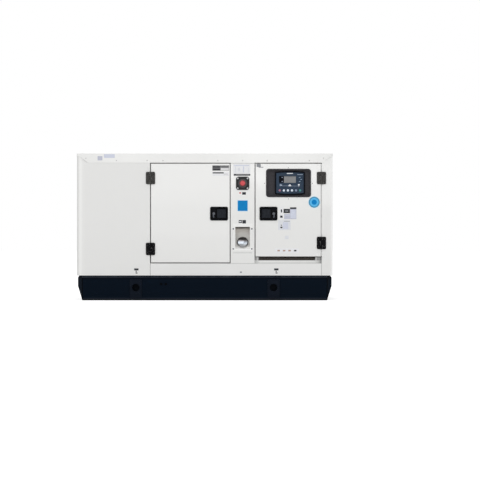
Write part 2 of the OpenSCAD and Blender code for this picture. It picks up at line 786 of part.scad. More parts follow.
module filler_recess() color(steel) {
    difference() {
        front() difference() {
            union() {
                translate([mullion_x, 0, filler_z + 4]) round_plate(143, 192, 6, -2, 0);
                intersection() {
                    recess_solid(filler_w + 2 * sheet_t, sheet_t);
                    box([0, 0, 0], [half_l, 200, total_h]);
                }
            }
            recess_solid(filler_w, 0);
            translate([mullion_x, 0, filler_z])
                box([-filler_w / 2, -3, -filler_h / 2], [filler_w / 2, 0.1, filler_h / 2]);
        }
        on_slope() translate([0, 0, -10]) cylinder(r = neck_r + seat, h = 20);
    }
}

module filler_neck() color("#2a2d31") {
    on_slope() difference() {
        union() {
            translate([0, 0, -14]) cylinder(r = neck_r, h = 24);
            translate([0, 0, -pipe_run]) cylinder(r = 23, h = pipe_run - 10);
        }
        translate([0, 0, -8]) cylinder(r = neck_r - 4, h = 20);
    }
    front() translate([mullion_x, pipe_depth, elbow_z]) sphere(r = 29);
    front() translate([mullion_x, pipe_depth, tank_h]) cylinder(r = 23, h = elbow_z - tank_h);
}

module fuel_cap() color("#d9dadb") on_slope()
    rotate_extrude() polygon([[0, 14], [neck_r - 7, 14], [neck_r - 7, 2], [neck_r - 4 - run, 2],
        [neck_r - 4 - run, 10.4], [neck_r + 0.4, 10.4], [neck_r + 0.4, 5], [cap_d / 2 - 3, 5],
        [cap_d / 2, 8], [cap_d / 2, 16], [cap_d / 2 - 4, 21], [cap_d / 4, 26], [0, 28]]);

// Rear doors are fixed

module rear_doors() color(steel) rear() {
    door_pan(engine_door_x0, engine_door_x1, engine_door_z, door_top);
    door_pan(control_door_x0, control_door_x1, engine_door_z, door_top);
}

module rear_hinges() color(plastic_black) mirror([0, 1, 0]) {
    hinge_places(engine_pin_x, hinge_zs_engine, 0) union() {
        frame_leaf();
        door_leaf();
    }
    hinge_places(control_pin_x, hinge_zs_engine, 1) union() {
        frame_leaf();
        door_leaf();
    }
}

module rear_latches() color(plastic_black) rear() for (x = [engine_latch_x, control_latch_x])
    translate([x, 0, latch_z]) mirror([x > mullion_x ? 1 : 0, 0, 0]) {
        difference() {
            round_plate(latch_w, latch_h, 11, -dish_proud, 0);
            box([pocket_x0, -dish_proud - 1, -pocket_h / 2], [pocket_x1, -1, pocket_h / 2]);
        }
        box([pocket_x0 + 5, -dish_proud, -pocket_h / 2 + 5], [pocket_x1 - 5, 0, pocket_h / 2 - 5]);
    }

// Turbine set

duct_l = 300;                                        // the exhaust duct, from the end wall to the drum
duct_gap = 25;                                       // between the end wall and the duct
duct_r = 190;                                        // radius of the duct at the outlet guard
throat_r = 120;                                      // radius of the duct at the drum
throat_l = 40;
drum_x0 = -half_l + duct_l;
drum_x1 = drum_x0 + drum_l;
hub_l = 42;                                          // hub between the drum and the generator
dome = 14;                                           // depth of the drum's end cap
nose = 20;                                           // depth of its other end, towards the duct
nose_r = throat_r + 30;
shoulder = 12;                                       // width of the drum's sloping shoulders
ring_r = drum_r - 50;                                // radius of the fuel ring
ring_pipe_r = 6;
injector_r = 15;
injector_in = 20;                                    // injectors inside the ring
hub_r = ring_r - injector_in - 37;
gen_x0 = drum_x1 + hub_l;
gen_x1 = gen_x0 + gen_l;
gen_body_r = gen_r - 22;
gen_bell_r = 110;                                    // end bell of the generator
gen_bell_l = 14;
gen_flange_t = 12;
fin_from = 32;                                       // from the generator's end to the first fin
fin_foot = 6;                                        // thickness of a fin at its foot
fin_span = gen_l - 2 * fin_from - fin_foot;          // from the first fin to the last
terminal_x = gen_x0 + 90;                            // terminal box on the generator
terminal_l = 150;
terminal_w = 160;
terminal_h = 60;                                     // height of the box above the fins
terminal_rim = 6;
cradle_x0 = drum_x0;
cradle_x1 = gen_x1 + 100;
cradle_y = 150;                                      // centre line of the cradle's channels
channel = 60;                                        // width and height of a channel
channel_t = 6;
cradle_top = 290;
pad_l = 50;                                          // length of a foot under the drum or generator
gen_pad_w = 40;
bearer_l = 60;                                       // cross bearers under the generator
bearer_t = 12;
drum_feet = [drum_x0 + 100, drum_x1 - 50];
gen_feet = [gen_x0 + 80, gen_x1 - 40];
gen_foot_y = 105;
isolator_r = 32;
isolator_xs = [cradle_x0 + 60, (cradle_x0 + cradle_x1) / 2, cradle_x1 - 60];
isolator_h = cradle_top - channel - deck_top;

// Feet reach a little into the turned bodies, which are cut to match
module drum_feet_at(grow, top) for (x = drum_feet, s = [-1, 1]) translate([x, s * cradle_y, 0])
    box([-pad_l / 2 - grow, -pad_l / 2 - grow, cradle_top - 1],
        [pad_l / 2 + grow, pad_l / 2 + grow, top]);
module gen_feet_at(grow, top) for (x = gen_feet, s = [-1, 1]) translate([x, s * gen_foot_y, 0])
    box([-pad_l / 2 - grow, -gen_pad_w / 2 - grow, cradle_top - 1],
        [pad_l / 2 + grow, gen_pad_w / 2 + grow, top]);

drum_foot_top = shaft_z - sqrt(pow(drum_r, 2) - pow(cradle_y, 2)) + 18;
gen_foot_top = shaft_z - sqrt(pow(gen_body_r, 2) - pow(gen_foot_y, 2)) + 4;

module set_cradle() color("#39414d") {
    y = cradle_y + channel / 2;
    z = cradle_top - channel;
    for (s = [0, 1]) mirror([0, s, 0]) difference() {
        box([cradle_x0, -y, z], [cradle_x1, channel - y, cradle_top]);
        box([cradle_x0 - 1, channel_t - y, z + channel_t],
            [cradle_x1 + 1, channel - y + 1, cradle_top - channel_t]);
    }
    for (x = isolator_xs)
        box([x - channel / 2, channel_t - y - 1, z + channel_t - 1],
            [x + channel / 2, y - channel_t + 1, cradle_top - channel_t + 1]);
    drum_feet_at(0, drum_foot_top);
    for (x = gen_feet)
        box([x - bearer_l / 2, -y, cradle_top], [x + bearer_l / 2, y, cradle_top + bearer_t]);
    gen_feet_at(0, gen_foot_top);
}

module isolators() color("#1a1a1b")
    for (x = isolator_xs, s = [-1, 1]) translate([x, s * cradle_y, deck_top])
        rotate_extrude() polygon([[0, 0], [isolator_r, 0], [isolator_r, 5], [isolator_r - 6, 9],
            [isolator_r - 8, isolator_h / 2], [isolator_r - 6, isolator_h - 9],
            [isolator_r - 2, isolator_h - 5], [isolator_r - 2, isolator_h], [0, isolator_h]]);

// A clamp band round the drum
module band(x) turned_x([[drum_r - 1, x - 14], [drum_r + 5, x - 14], [drum_r + 5, x - 9], [drum_r + 2, x - 7],
    [drum_r + 2, x + 7], [drum_r + 5, x + 9], [drum_r + 5, x + 14], [drum_r - 1, x + 14]]);

module recuperator_drum() color("#8d8f8f")
    difference() {
        union() {
            turned_x([[0, drum_x0 - nose], [nose_r, drum_x0 - nose], [nose_r + 20, drum_x0 - nose + 2],
                [drum_r - shoulder, drum_x0], [drum_r, drum_x0 + shoulder / 2],
                [drum_r, drum_x1 - shoulder / 2], [drum_r - shoulder, drum_x1],
                [ring_r + 20, drum_x1 + dome], [hub_r, drum_x1 + dome],
                [hub_r - 6, drum_x1 + hub_l], [0, drum_x1 + hub_l]]);
            for (x = [drum_x0 + 40, (drum_x0 + drum_x1) / 2, drum_x1 - 110]) band(x);
        }
        drum_feet_at(1, drum_foot_top + 0.1);
    }

// Fuel injectors in a circle on the end of the drum, fed by a ring pipe
injectors = 6;
module fuel_manifold() color("#b5b2aa") {
    pipe_out = 14;
    for (i = [0 : injectors - 1]) translate([drum_x1 + dome, 0, shaft_z])
        rotate([i * 360 / injectors + 30, 0, 0]) translate([0, 0, ring_r - injector_in]) {
            rotate([0, 90, 0]) cylinder(r = injector_r, h = 7);
            rotate([0, 90, 0]) cylinder(r = 8, h = 24);
            translate([pipe_out, 0, 0]) cylinder(r = 4, h = injector_in);
        }
    translate([drum_x1 + dome + pipe_out, 0, shaft_z]) rotate([0, 90, 0])
        rotate_extrude($fn = 96) translate([ring_r, 0]) circle(r = ring_pipe_r, $fn = 32);
}

module generator() color("#5a646e")
    difference() {
        union() {
            turned_x([[0, gen_x0], [gen_body_r - 6, gen_x0], [gen_body_r - 6, gen_x0 + gen_bell_l],
                [gen_body_r, gen_x0 + gen_bell_l + 4], [gen_body_r, gen_x1 - gen_bell_l - 4],
                [gen_bell_r, gen_x1 - gen_bell_l], [gen_bell_r, gen_x1], [0, gen_x1]]);
            turned_x([[gen_body_r - 12, gen_x0], [gen_r - 12, gen_x0], [gen_r - 12, gen_x0 + gen_flange_t],
                [gen_body_r - 12, gen_x0 + gen_flange_t]]);
            for (i = [0 : gen_fins - 1])
                translate([gen_x0 + fin_from + i * fin_span / (gen_fins - 1), 0, 0])
                    turned_x([[gen_body_r - 2, 0], [gen_r, 1], [gen_r, fin_foot - 1],
                        [gen_body_r - 2, fin_foot]]);
            box([terminal_x, -terminal_w / 2, shaft_z + gen_body_r - 10],
                [terminal_x + terminal_l, terminal_w / 2, shaft_z + gen_r + terminal_h]);
            translate([terminal_x + terminal_l / 2, 0, shaft_z + gen_r + terminal_h - 10])
                cube([terminal_l + 2 * terminal_rim, terminal_w + 2 * terminal_rim, 4], center = true);
        }
        gen_feet_at(1, gen_foot_top + 0.1);
    }

// Neck, flare and two rims round the filter
intake_l = 268;
intake_neck_r = 95;
intake_neck_l = 20;
intake_flare_l = 50;
intake_rim = 14;
intake_boss = 8;
intake_boss_r = 40;
intake_r = gen_r - 10;
filter_r = intake_r - 6;

module air_intake() color("#c9ccce") {
    x0 = gen_x1 + intake_neck_l + intake_flare_l;
    x1 = gen_x1 + intake_l;
    turned_x([[0, gen_x1], [intake_neck_r, gen_x1], [intake_neck_r, gen_x1 + intake_neck_l],
        [intake_r, x0], [intake_r, x0 + intake_rim], [filter_r, x0 + intake_rim],
        [filter_r, x1 - 8 - intake_rim], [intake_r, x1 - 8 - intake_rim], [intake_r, x1 - 8],
        [filter_r - 6, x1], [intake_boss_r, x1], [intake_boss_r, x1 + intake_boss], [0, x1 + intake_boss]]);
}

// A flanged cone of sheet steel from the drum to the outlet guard
module exhaust_duct() color("#77797a") {
    duct_x = -half_l + duct_gap;
    mouth = drum_x0 - nose;
    wall = 4;
    flange_r = throat_r + 20;
    flange_t = 8;
    turned_x([[throat_r - wall, mouth], [flange_r, mouth], [flange_r, mouth - flange_t],
        [throat_r, mouth - flange_t], [throat_r, mouth - throat_l], [duct_r, duct_x],
        [duct_r - wall, duct_x], [throat_r - wall, mouth - throat_l]]);
}

cabinet_x1 = half_l - 120;
cabinet_y0 = -half_w + 175;
cabinet_d = 105;
cabinet_z = 420;
cabinet_leg = 40;
cabinet_door_t = 6;

module distribution_box() color("#b9bcbd") translate([cabinet_x1 - cabinet_w, cabinet_y0, 0]) {
    for (x = [0, cabinet_w - cabinet_leg])
        box([x, cabinet_leg, deck_top], [x + cabinet_leg, 2 * cabinet_leg, cabinet_z]);
    box([0, cabinet_door_t, cabinet_z], [cabinet_w, cabinet_d, cabinet_z + cabinet_h]);
    box([8, 0, cabinet_z + 8], [cabinet_w - 8, cabinet_door_t, cabinet_z + cabinet_h - 8]);
}

// The cooler stands behind the inlet louvres on two legs
cooler_x0 = half_l - 90;
cooler_w = 460;
cooler_d = 50;
cooler_rim = 24;

module oil_cooler() color("#4a4f55") translate([cooler_x0, 0, 0]) {
    z1 = inlet_z + inlet_h;
    core_y = cooler_w / 2 - cooler_rim;
    difference() {
        box([0, -cooler_w / 2, inlet_z], [cooler_d, cooler_w / 2, z1]);
        for (x = [-1, cooler_d - 10])
            box([x, -core_y, inlet_z + cooler_rim], [x + 11, core_y, z1 - cooler_rim]);
    }
    for (s = [0, 1]) mirror([0, s, 0]) box([0, core_y, deck_top], [cooler_d, cooler_w / 2, inlet_z]);
}

battery_x1 = half_l - 105;
battery_y1 = half_w - 125;
battery_lid = 22;
battery_rim = 4;
post_h = 16;

module battery() color("#26292d") translate([battery_x1 - battery_l, battery_y1 - battery_w, deck_top]) {
    box([0, 0, 0], [battery_l, battery_w, battery_h - battery_lid / 2]);
    box([-battery_rim, -battery_rim, battery_h - battery_lid],
        [battery_l + battery_rim, battery_w + battery_rim, battery_h]);
    for (y = [battery_w / 4, battery_w * 3 / 4]) translate([battery_l / 4, y, battery_h])
        cylinder(r = 9, h = post_h);
}

base_front_rail();
base_rear_rail();
base_flanges();
base_left_end();
base_right_end();
lifting_plates();
fuel_tank();
deck();
front_plain_panel();
front_mullion();
front_sill();
front_post();
front_header();
cable_outlet();
rear_plain_panel();
rear_mullion();
rear_sill();
rear_post();
rear_header();
rear_doors();
rear_hinges();
rear_latches();
left_end_wall();
right_end_wall();
outlet_guard();
inlet_louvres();
roof();
door_seals();
wall_lining();
frame_hinge_leaves();
engine_door();
engine_door_lining();
engine_door_hinges();
engine_latch();
engine_paddle();
control_door();
control_door_lining();
control_door_hinges();
control_latch();
control_paddle();
window_trim();
control_panel();
controller();
controller_screen();
controller_keys();
stop_plate();
stop_button();
filler_recess();
filler_neck();
fuel_cap();
set_cradle();
isolators();
recuperator_drum();
fuel_manifold();
generator();
air_intake();
exhaust_duct();
distribution_box();
oil_cooler();
battery();
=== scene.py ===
"""Looks of the enclosed gas turbine generator set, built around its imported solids."""

import json
from math import copysign, cos, hypot, radians, sin, tau

import bmesh
import bpy
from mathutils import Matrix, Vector


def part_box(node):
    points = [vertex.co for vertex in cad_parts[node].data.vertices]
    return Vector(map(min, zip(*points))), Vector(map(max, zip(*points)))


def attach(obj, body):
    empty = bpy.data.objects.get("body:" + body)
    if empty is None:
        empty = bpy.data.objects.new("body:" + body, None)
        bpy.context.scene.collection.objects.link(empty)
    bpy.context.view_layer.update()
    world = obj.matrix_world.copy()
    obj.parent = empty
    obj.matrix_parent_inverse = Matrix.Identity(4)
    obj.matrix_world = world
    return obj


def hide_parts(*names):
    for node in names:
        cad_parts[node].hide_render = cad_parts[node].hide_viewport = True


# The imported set: a white steel canopy on a very dark navy skid. Its front face is on the -Y side,
# it stands on Z = 0, and all lengths here are in metres.
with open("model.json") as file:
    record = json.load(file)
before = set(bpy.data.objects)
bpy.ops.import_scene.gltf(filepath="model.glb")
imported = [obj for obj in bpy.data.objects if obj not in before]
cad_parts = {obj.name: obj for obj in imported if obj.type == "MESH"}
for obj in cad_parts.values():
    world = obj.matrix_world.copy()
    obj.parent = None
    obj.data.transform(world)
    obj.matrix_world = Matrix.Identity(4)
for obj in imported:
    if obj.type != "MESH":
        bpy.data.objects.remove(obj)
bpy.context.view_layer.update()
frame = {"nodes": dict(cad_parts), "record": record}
solids = frame["nodes"]
body_of_solid = {node: body for body, group in frame["record"]["behaviour"]["bodies"].items() for node in group}
stage_scene = bpy.context.scene
stage_scene.view_settings.view_transform = "Standard"

# The camera looks straight at the front from far away, because the photograph shows no side of the
# set. The set stands left of the middle of the picture and a little above it.
PICTURE_WIDTH = 3.379      # what the square picture spans on the front face
LENS_DISTANCE = 14.0
PICTURE_MIDDLE = (0.2485, 0.4249)
front_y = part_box("front_sill")[0].y


def put(name, data):
    made = bpy.data.objects.new(name, data)
    stage_scene.collection.objects.link(made)
    return made


camera_data = bpy.data.cameras.new("photo_camera")
camera_data.sensor_width = 36.0
camera_data.lens = camera_data.sensor_width * LENS_DISTANCE / PICTURE_WIDTH
camera_data.clip_end = 100
photo_camera = put("photo_camera", camera_data)
photo_camera.location = (PICTURE_MIDDLE[0], front_y - LENS_DISTANCE, PICTURE_MIDDLE[1])
photo_camera.rotation_euler = (radians(90), 0, 0)
stage_scene.camera = photo_camera

# A plain white studio: one large floor, an even white sky, and broad soft lamps in front and above.
# Camera, mirror and glass rays see the sky as plain white, and the floor close to white but for shadow.
FLOOR_REACH = 60
floor_mesh = bpy.data.meshes.new("studio_floor")
floor_corners = [(x * FLOOR_REACH, y * FLOOR_REACH, 0) for x, y in ((-1, -1), (1, -1), (1, 1), (-1, 1))]
floor_mesh.from_pydata(floor_corners, [], [(0, 1, 2, 3)])
studio_floor = put("studio_floor", floor_mesh)


def feed(tree, node, *terms, **named):
    """Terms go to the first inputs of a node, and words to the inputs that they name, or with a small
    letter to its settings. A node or a socket is linked, and a value is set."""
    for key, value in named.items():
        if key.islower():
            setattr(node, key, value)
    words = [(key.replace("_", " "), value) for key, value in named.items() if not key.islower()]
    for key, value in [*enumerate(terms), *words]:
        if isinstance(value, bpy.types.Node):
            value = value.outputs[0]
        if isinstance(value, bpy.types.NodeSocket):
            tree.links.new(value, node.inputs[key])
        else:
            node.inputs[key].default_value = value
    return node


def add(tree, kind, *terms, **named):
    return feed(tree, tree.nodes.new(kind), *terms, **named)


def calc(tree, operation, *terms):
    return add(tree, "ShaderNodeMath", *terms, operation=operation)


def seen_rays(tree):
    """One where a ray comes from the camera, a mirror or glass."""
    path = tree.nodes.new("ShaderNodeLightPath").outputs
    either = calc(tree, "MAXIMUM", path["Is Camera Ray"], path["Is Glossy Ray"])
    return calc(tree, "MAXIMUM", either, path["Is Transmission Ray"])


floor_white = bpy.data.materials.new("studio_white")
floor_white.use_nodes = True
floor_tree = floor_white.node_tree
floor_surface = floor_tree.nodes["Principled BSDF"]
feed(floor_tree, floor_surface, Base_Color=(0.8, 0.8, 0.8, 1), Roughness=1.0, Specular_IOR_Level=0.0)
floor_lift = add(floor_tree, "ShaderNodeEmission", Strength=0.55)
floor_none = add(floor_tree, "ShaderNodeEmission", Strength=0.0)
floor_seen = add(floor_tree, "ShaderNodeMixShader", seen_rays(floor_tree), floor_none, floor_lift)
floor_sum = add(floor_tree, "ShaderNodeAddShader", floor_surface, floor_seen)
feed(floor_tree, floor_tree.nodes["Material Output"], Surface=floor_sum)
floor_mesh.materials.append(floor_white)

studio_sky = bpy.data.worlds.new("studio_sky")
studio_sky.use_nodes = True
sky_tree = studio_sky.node_tree
sky_fill = sky_tree.nodes["Background"]
feed(sky_tree, sky_fill, Color=(1, 1, 1, 1), Strength=0.7)
sky_seen = add(sky_tree, "ShaderNodeBackground", Color=(1, 1, 1, 1), Strength=1.0)
sky_mix = add(sky_tree, "ShaderNodeMixShader", seen_rays(sky_tree), sky_fill, sky_seen)
feed(sky_tree, sky_tree.nodes["World Output"], Surface=sky_mix)
stage_scene.world = studio_sky

for name, place, aim, size, watts in (("key_softbox", (-1.6, -5.4, 3.4), (0, 0, 0.6), (5.4, 4.2), 78),
        ("fill_softbox", (3.0, -5.0, 1.4), (0, 0, 0.5), (4.6, 2.4), 26), ("top_softbox", (0, 0.4, 4.6), (0, 0, 1.0),
        (5.0, 3.6), 42)):
    lamp_data = bpy.data.lights.new(name, "AREA")
    lamp_data.shape = "RECTANGLE"
    lamp_data.size, lamp_data.size_y = size
    lamp_data.energy = watts
    lamp = put(name, lamp_data)
    lamp.location = place
    lamp.rotation_euler = (Vector(aim) - Vector(place)).to_track_quat("-Z", "Y").to_euler()

# The skid is a folded steel tray with sloped ends, welded and sprayed in a very dark blue enamel.
# Road dust dulls its sloped faces, which also carry a painted highlight, and a painted highlight runs
# along its lower fold.


def cloud(tree, scale, detail, stretch=(1, 1, 1)):
    """A noise on the object's own coordinates, of about 1/scale metres."""
    place = tree.nodes.new("ShaderNodeTexCoord").outputs["Object"]
    turn = add(tree, "ShaderNodeMapping", Vector=place, Scale=stretch)
    return add(tree, "ShaderNodeTexNoise", Vector=turn, Scale=scale, Detail=detail).outputs["Fac"]


def ramp(tree, factor, marks):
    """The colour runs from each (position, colour) mark to the next."""
    made = add(tree, "ShaderNodeValToRGB", factor)
    stops = made.color_ramp.elements
    for end in (0, -1):
        stops[end].position, stops[end].color = marks[end][0], (*marks[end][1], 1)
    for position, colour in marks[1:-1]:
        stops.new(position).color = (*colour, 1)
    return made


def bands(tree, axis, marks, wobble=0.04, noise=(60, 3)):
    """Bands between the first and the last mark on an axis, with softly uneven borders. Each mark gives
    a place in metres, and a colour or the level of a grey."""
    low, high = marks[0][0], marks[-1][0]
    place = tree.nodes.new("ShaderNodeTexCoord").outputs["Object"]
    split = add(tree, "ShaderNodeSeparateXYZ", place)
    level = add(tree, "ShaderNodeMapRange", split.outputs[axis], low, high)
    uneven = calc(tree, "ADD", level, calc(tree, "MULTIPLY_ADD", cloud(tree, *noise), wobble, -wobble / 2))
    return ramp(tree, uneven, [((mark - low) / (high - low), shade if isinstance(shade, tuple) else (shade, shade,
        shade * 0.985)) for mark, shade in marks])


def finish(name, shades, gloss, relief=None, metallic=0.0, specular=0.5, coat=0.0):
    """A material. shades is a colour, a noise with two colours, or what bands takes. gloss is a
    roughness, or a noise with two. relief is a noise with the depth and strength of a bump. A noise
    is its scale, its detail, the two values, and perhaps a stretch."""
    material = bpy.data.materials.new(name)
    material.use_nodes = True
    tree = material.node_tree
    surface = tree.nodes["Principled BSDF"]

    def noise(scale, detail, low, high, *stretch):
        return cloud(tree, scale, detail, *stretch), low, high

    if isinstance(shades[0], str):
        colour = bands(tree, *shades)
    elif len(shades) == 3:
        colour = (*shades, 1)
    else:
        factor, low, high = noise(*shades)
        colour = ramp(tree, factor, [(0.35, low), (0.65, high)])
    if isinstance(gloss, tuple):
        factor, low, high = noise(*gloss)
        gloss = add(tree, "ShaderNodeMapRange", factor, 0.3, 0.7, low, high)
    feed(tree, surface, Base_Color=colour, Roughness=gloss, Metallic=metallic, Specular_IOR_Level=specular,
        Coat_Weight=coat)
    if relief:
        factor, depth, strength = noise(*relief)
        feed(tree, surface, Normal=add(tree, "ShaderNodeBump", Height=factor, Distance=depth, Strength=strength))
    return material


CREASE = radians(30)      # sharper edges than this are rounded
CLOSE = 0.00001      # points nearer than this are merged


def round_edges(piece, width, steps):
    rounding = piece.modifiers.new("rounded_edges", "BEVEL")
    rounding.width, rounding.segments = width, steps
    rounding.limit_method, rounding.angle_limit = "ANGLE", CREASE
    rounding.harden_normals = True


def dress(node, material, edge=0.0008, steps=2, also=(), fold=None, cuts=()):
    """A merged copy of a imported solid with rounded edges, which stands for it. also lists pairs of a
    test on a face and its middle, and the material it gets. fold is a test on an edge and its wider
    radius, and cuts lists planes, as a point and a direction, where a finish ends across a flat face."""
    mesh = solids[node].data.copy()
    mesh.name = node + "_finished"
    mesh.materials.clear()
    for used in [material] + [pair[1] for pair in also]:
        mesh.materials.append(used)
    work = bmesh.new()
    work.from_mesh(mesh)
    bmesh.ops.remove_doubles(work, verts=work.verts, dist=CLOSE)
    bmesh.ops.dissolve_limit(work, angle_limit=radians(0.4), verts=work.verts, edges=work.edges)
    for place, direction in cuts:
        bmesh.ops.bisect_plane(work, geom=work.verts[:] + work.edges[:] + work.faces[:], plane_co=place,
            plane_no=direction, dist=CLOSE)
    if fold:
        test, radius = fold
        chosen = [line for line in work.edges if len(line.link_faces) == 2 and line.calc_face_angle(0) > 0.5
            and test(line)]
        bmesh.ops.bevel(work, geom=chosen, offset=radius, segments=4, affect="EDGES", profile=0.5)
    for face in work.faces:
        face.smooth = True
        face.material_index = 0
        for number, (test, _) in enumerate(also, 1):
            if test(face, face.calc_center_median()):
                face.material_index = number
    work.to_mesh(mesh)
    work.free()
    mesh.set_sharp_from_angle(angle=CREASE)
    piece = put(node + "_finished", mesh)
    round_edges(piece, edge, steps)
    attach(piece, body_of_solid[node])
    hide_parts(node)
    return piece


# Bands up the skid's faces: darker at the foot, a painted highlight along the lower fold, and painted shade on the
# top of the rails, under the canopy's edge.
FOOT_DARK, FOLD_PAINTED_HIGHLIGHT = (0.001, 0.0026, 0.0055), (0.014, 0.0195, 0.028)
RAIL_NAVY, RAIL_TOP_PAINTED_SHADE = (0.0004, 0.0036, 0.0092), (0.0004, 0.0014, 0.005)
skid_enamel = finish("skid_enamel", ("Z", [
    (0.0, FOOT_DARK), (0.0085, FOOT_DARK), (0.011, FOLD_PAINTED_HIGHLIGHT), (0.015, FOLD_PAINTED_HIGHLIGHT), (0.018, RAIL_NAVY),
    (0.147, RAIL_NAVY), (0.154, RAIL_TOP_PAINTED_SHADE), (0.17, RAIL_TOP_PAINTED_SHADE)], 0.014),
    (40, 3, 0.28, 0.44), (500, 2, 0.00012, 0.6), specular=0.04)
# The sloped faces are dulled by dust, and their colour is painted lighter as a painted highlight.
bevel_dust_and_painted_highlight = finish("skid_bevel_dust_and_highlight", (30, 5, (0.006, 0.0095, 0.017), (0.018, 0.023, 0.033)), (60, 3, 0.42, 0.6),
    (500, 2, 0.00012, 0.6), specular=0.15)
for node in ("base_front_rail", "base_rear_rail", "base_left_end", "base_right_end", "base_flanges"):
    dress(node, skid_enamel, 0.0012, also=[(lambda face, middle: 0.3 < face.normal.z < 0.95, bevel_dust_and_painted_highlight)])

# The lifting plates are thicker steel, welded on all round and sprayed with the skid. The weld beads
# are small overlapping ripples along the edge of each plate.
plate_enamel = finish("plate_enamel", (9, 4, (0.0026, 0.0052, 0.0108), (0.0048, 0.008, 0.015)), (60, 3, 0.34, 0.5),
    (700, 2, 0.00012, 0.6), specular=0.05)
dress("lifting_plates", plate_enamel, 0.0015)


def corner_outline(x0, x1, z0, z1, radius, steps=5):
    points = []
    for cx, cz, start in ((x1 - radius, z0 + radius, 270), (x1 - radius, z1 - radius, 0),
            (x0 + radius, z1 - radius, 90), (x0 + radius, z0 + radius, 180)):
        for step in range(steps + 1):
            turn = radians(start + 90 * step / steps)
            points.append((cx + radius * cos(turn), cz + radius * sin(turn)))
    return points


def new_tree(name, inputs):
    """A Geometry Nodes tree with named number inputs, what it is given, and its maker of nodes."""
    tree = bpy.data.node_groups.new(name, "GeometryNodeTree")
    socket = tree.interface.new_socket
    socket("Geometry", in_out="INPUT", socket_type="NodeSocketGeometry")
    for label, value in inputs.items():
        kind = "NodeSocketInt" if isinstance(value, int) else "NodeSocketFloat"
        socket(label, in_out="INPUT", socket_type=kind).default_value = value
    socket("Geometry", in_out="OUTPUT", socket_type="NodeSocketGeometry")

    def make(kind, *terms, **named):
        """Adds a node, which is a calculation where its kind is in capitals."""
        if kind.isupper():
            return calc(tree, kind, *terms)
        family = "" if "Node" in kind else "ShaderNode" if kind.endswith("XYZ") else "GeometryNode"
        return add(tree, family + kind, *terms, **named)

    return tree, tree.nodes.new("NodeGroupInput").outputs, make


def end_tree(tree, geometry, material, smooth=False):
    """The end of a tree makes its instances real and gives them their material."""
    real = add(tree, "GeometryNodeRealizeInstances", geometry)
    if smooth:
        real = add(tree, "GeometryNodeSetShadeSmooth", real)
    finished = add(tree, "GeometryNodeSetMaterial", real, Material=material)
    add(tree, "NodeGroupOutput", finished)
    return finished


def point_mesh(name, points, edges=()):
    mesh = bpy.data.meshes.new(name)
    mesh.from_pydata(points, edges, [])
    return mesh


def grown(name, host, tree, values, body="housing"):
    """Runs a tree once on a mesh or on points, and keeps the result as a plain mesh that rides on a body."""
    piece = put(name, point_mesh(name, host) if isinstance(host, list) else host)
    growth = piece.modifiers.new("growth", "NODES")
    growth.node_group = tree
    for item in tree.interface.items_tree:
        if item.in_out == "INPUT" and item.name in values:
            growth[item.identifier] = values[item.name]
    finished = bpy.data.meshes.new_from_object(piece.evaluated_get(bpy.context.evaluated_depsgraph_get()))
    finished.name = name
    piece.modifiers.remove(growth)
    piece.data = finished
    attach(piece, body)
    return piece


WELD = {"Ripple": 0.0023, "Pitch": 0.0024}
weld_tree, given, make = new_tree("weld_ripples", WELD)
beads = make("CurveToPoints", make("MeshToCurve", given["Geometry"]), Length=given["Pitch"], mode="LENGTH")
drop = make("MeshIcoSphere", Radius=given["Ripple"], Subdivisions=2)
end_tree(weld_tree, make("InstanceOnPoints", beads, Instance=drop), plate_enamel, smooth=True)

plates_low, plates_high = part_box("lifting_plates")
LIFT_X, PLATE_HALF, PLATE_CORNER, WELD_Y = 0.485, 0.04, 0.006, 0.4232
weld_points, weld_edges = [], []
for side in (-1, 1):
    for middle in (-LIFT_X, LIFT_X):
        edge = corner_outline(middle - PLATE_HALF, middle + PLATE_HALF, plates_low.z, plates_high.z, PLATE_CORNER, 3)
        first = len(weld_points)
        weld_points += [(x, side * WELD_Y, z) for x, z in edge[4:] + edge[:4]]
        weld_edges += [(first + i, first + (i + 1) % len(edge)) for i in range(len(edge))]
grown("lifting_plate_welds", point_mesh("lifting_plate_welds", weld_points, weld_edges), weld_tree, WELD)

# The fuel tank is a welded box inside the skid, and the deck above it is plain plate. Both are sprayed
# black, and the deck carries the machine.
dress("fuel_tank", skid_enamel, 0.003)
deck_paint = finish("deck_paint", (5, 6, (0.024, 0.028, 0.034), (0.042, 0.047, 0.054)), (30, 5, 0.36, 0.62),
    (300, 3, 0.0002, 0.6))
dress("deck", deck_paint)

# The canopy is folded and bolted two-millimetre steel sheet with a white semi-gloss powder coat,
# which has a fine orange peel. The doors are shallow pans of the same sheet.
ORANGE_PEEL = (420, 2, 0.00015, 0.5)


def powder_coat(name, look):
    """One white coat, from its brightness or from bands of brightness along an axis. Where a coat differs from the
    plain canopy coat, the difference is painted light and shade.
    """
    if not isinstance(look, tuple):
        look = (2.2, 3, (look * 0.983, look * 0.983, look * 0.97), (look * 1.018, look * 1.018, look * 1.007))
    return finish(name, look, (60, 3, 0.34, 0.44), ORANGE_PEEL, specular=0.35, coat=0.06)


canopy_coat = powder_coat("canopy_coat", 0.775)
# The outer fold of the right post is painted brighter: a painted highlight.
post_fold_painted_highlight_coat = powder_coat("post_fold_painted_highlight", 0.93)
# The mullions, headers and control door are painted lighter towards their upper part: painted light.
middle_painted_light_coat = powder_coat("middle_panel_painted_light", ("Z", [
    (0.26, 0.795), (0.6, 0.8), (0.7, 0.825), (0.77, 0.843), (0.809, 0.88), (0.845, 0.915), (0.88, 0.925),
    (0.93, 0.9), (1.0, 0.86)], 0.03))
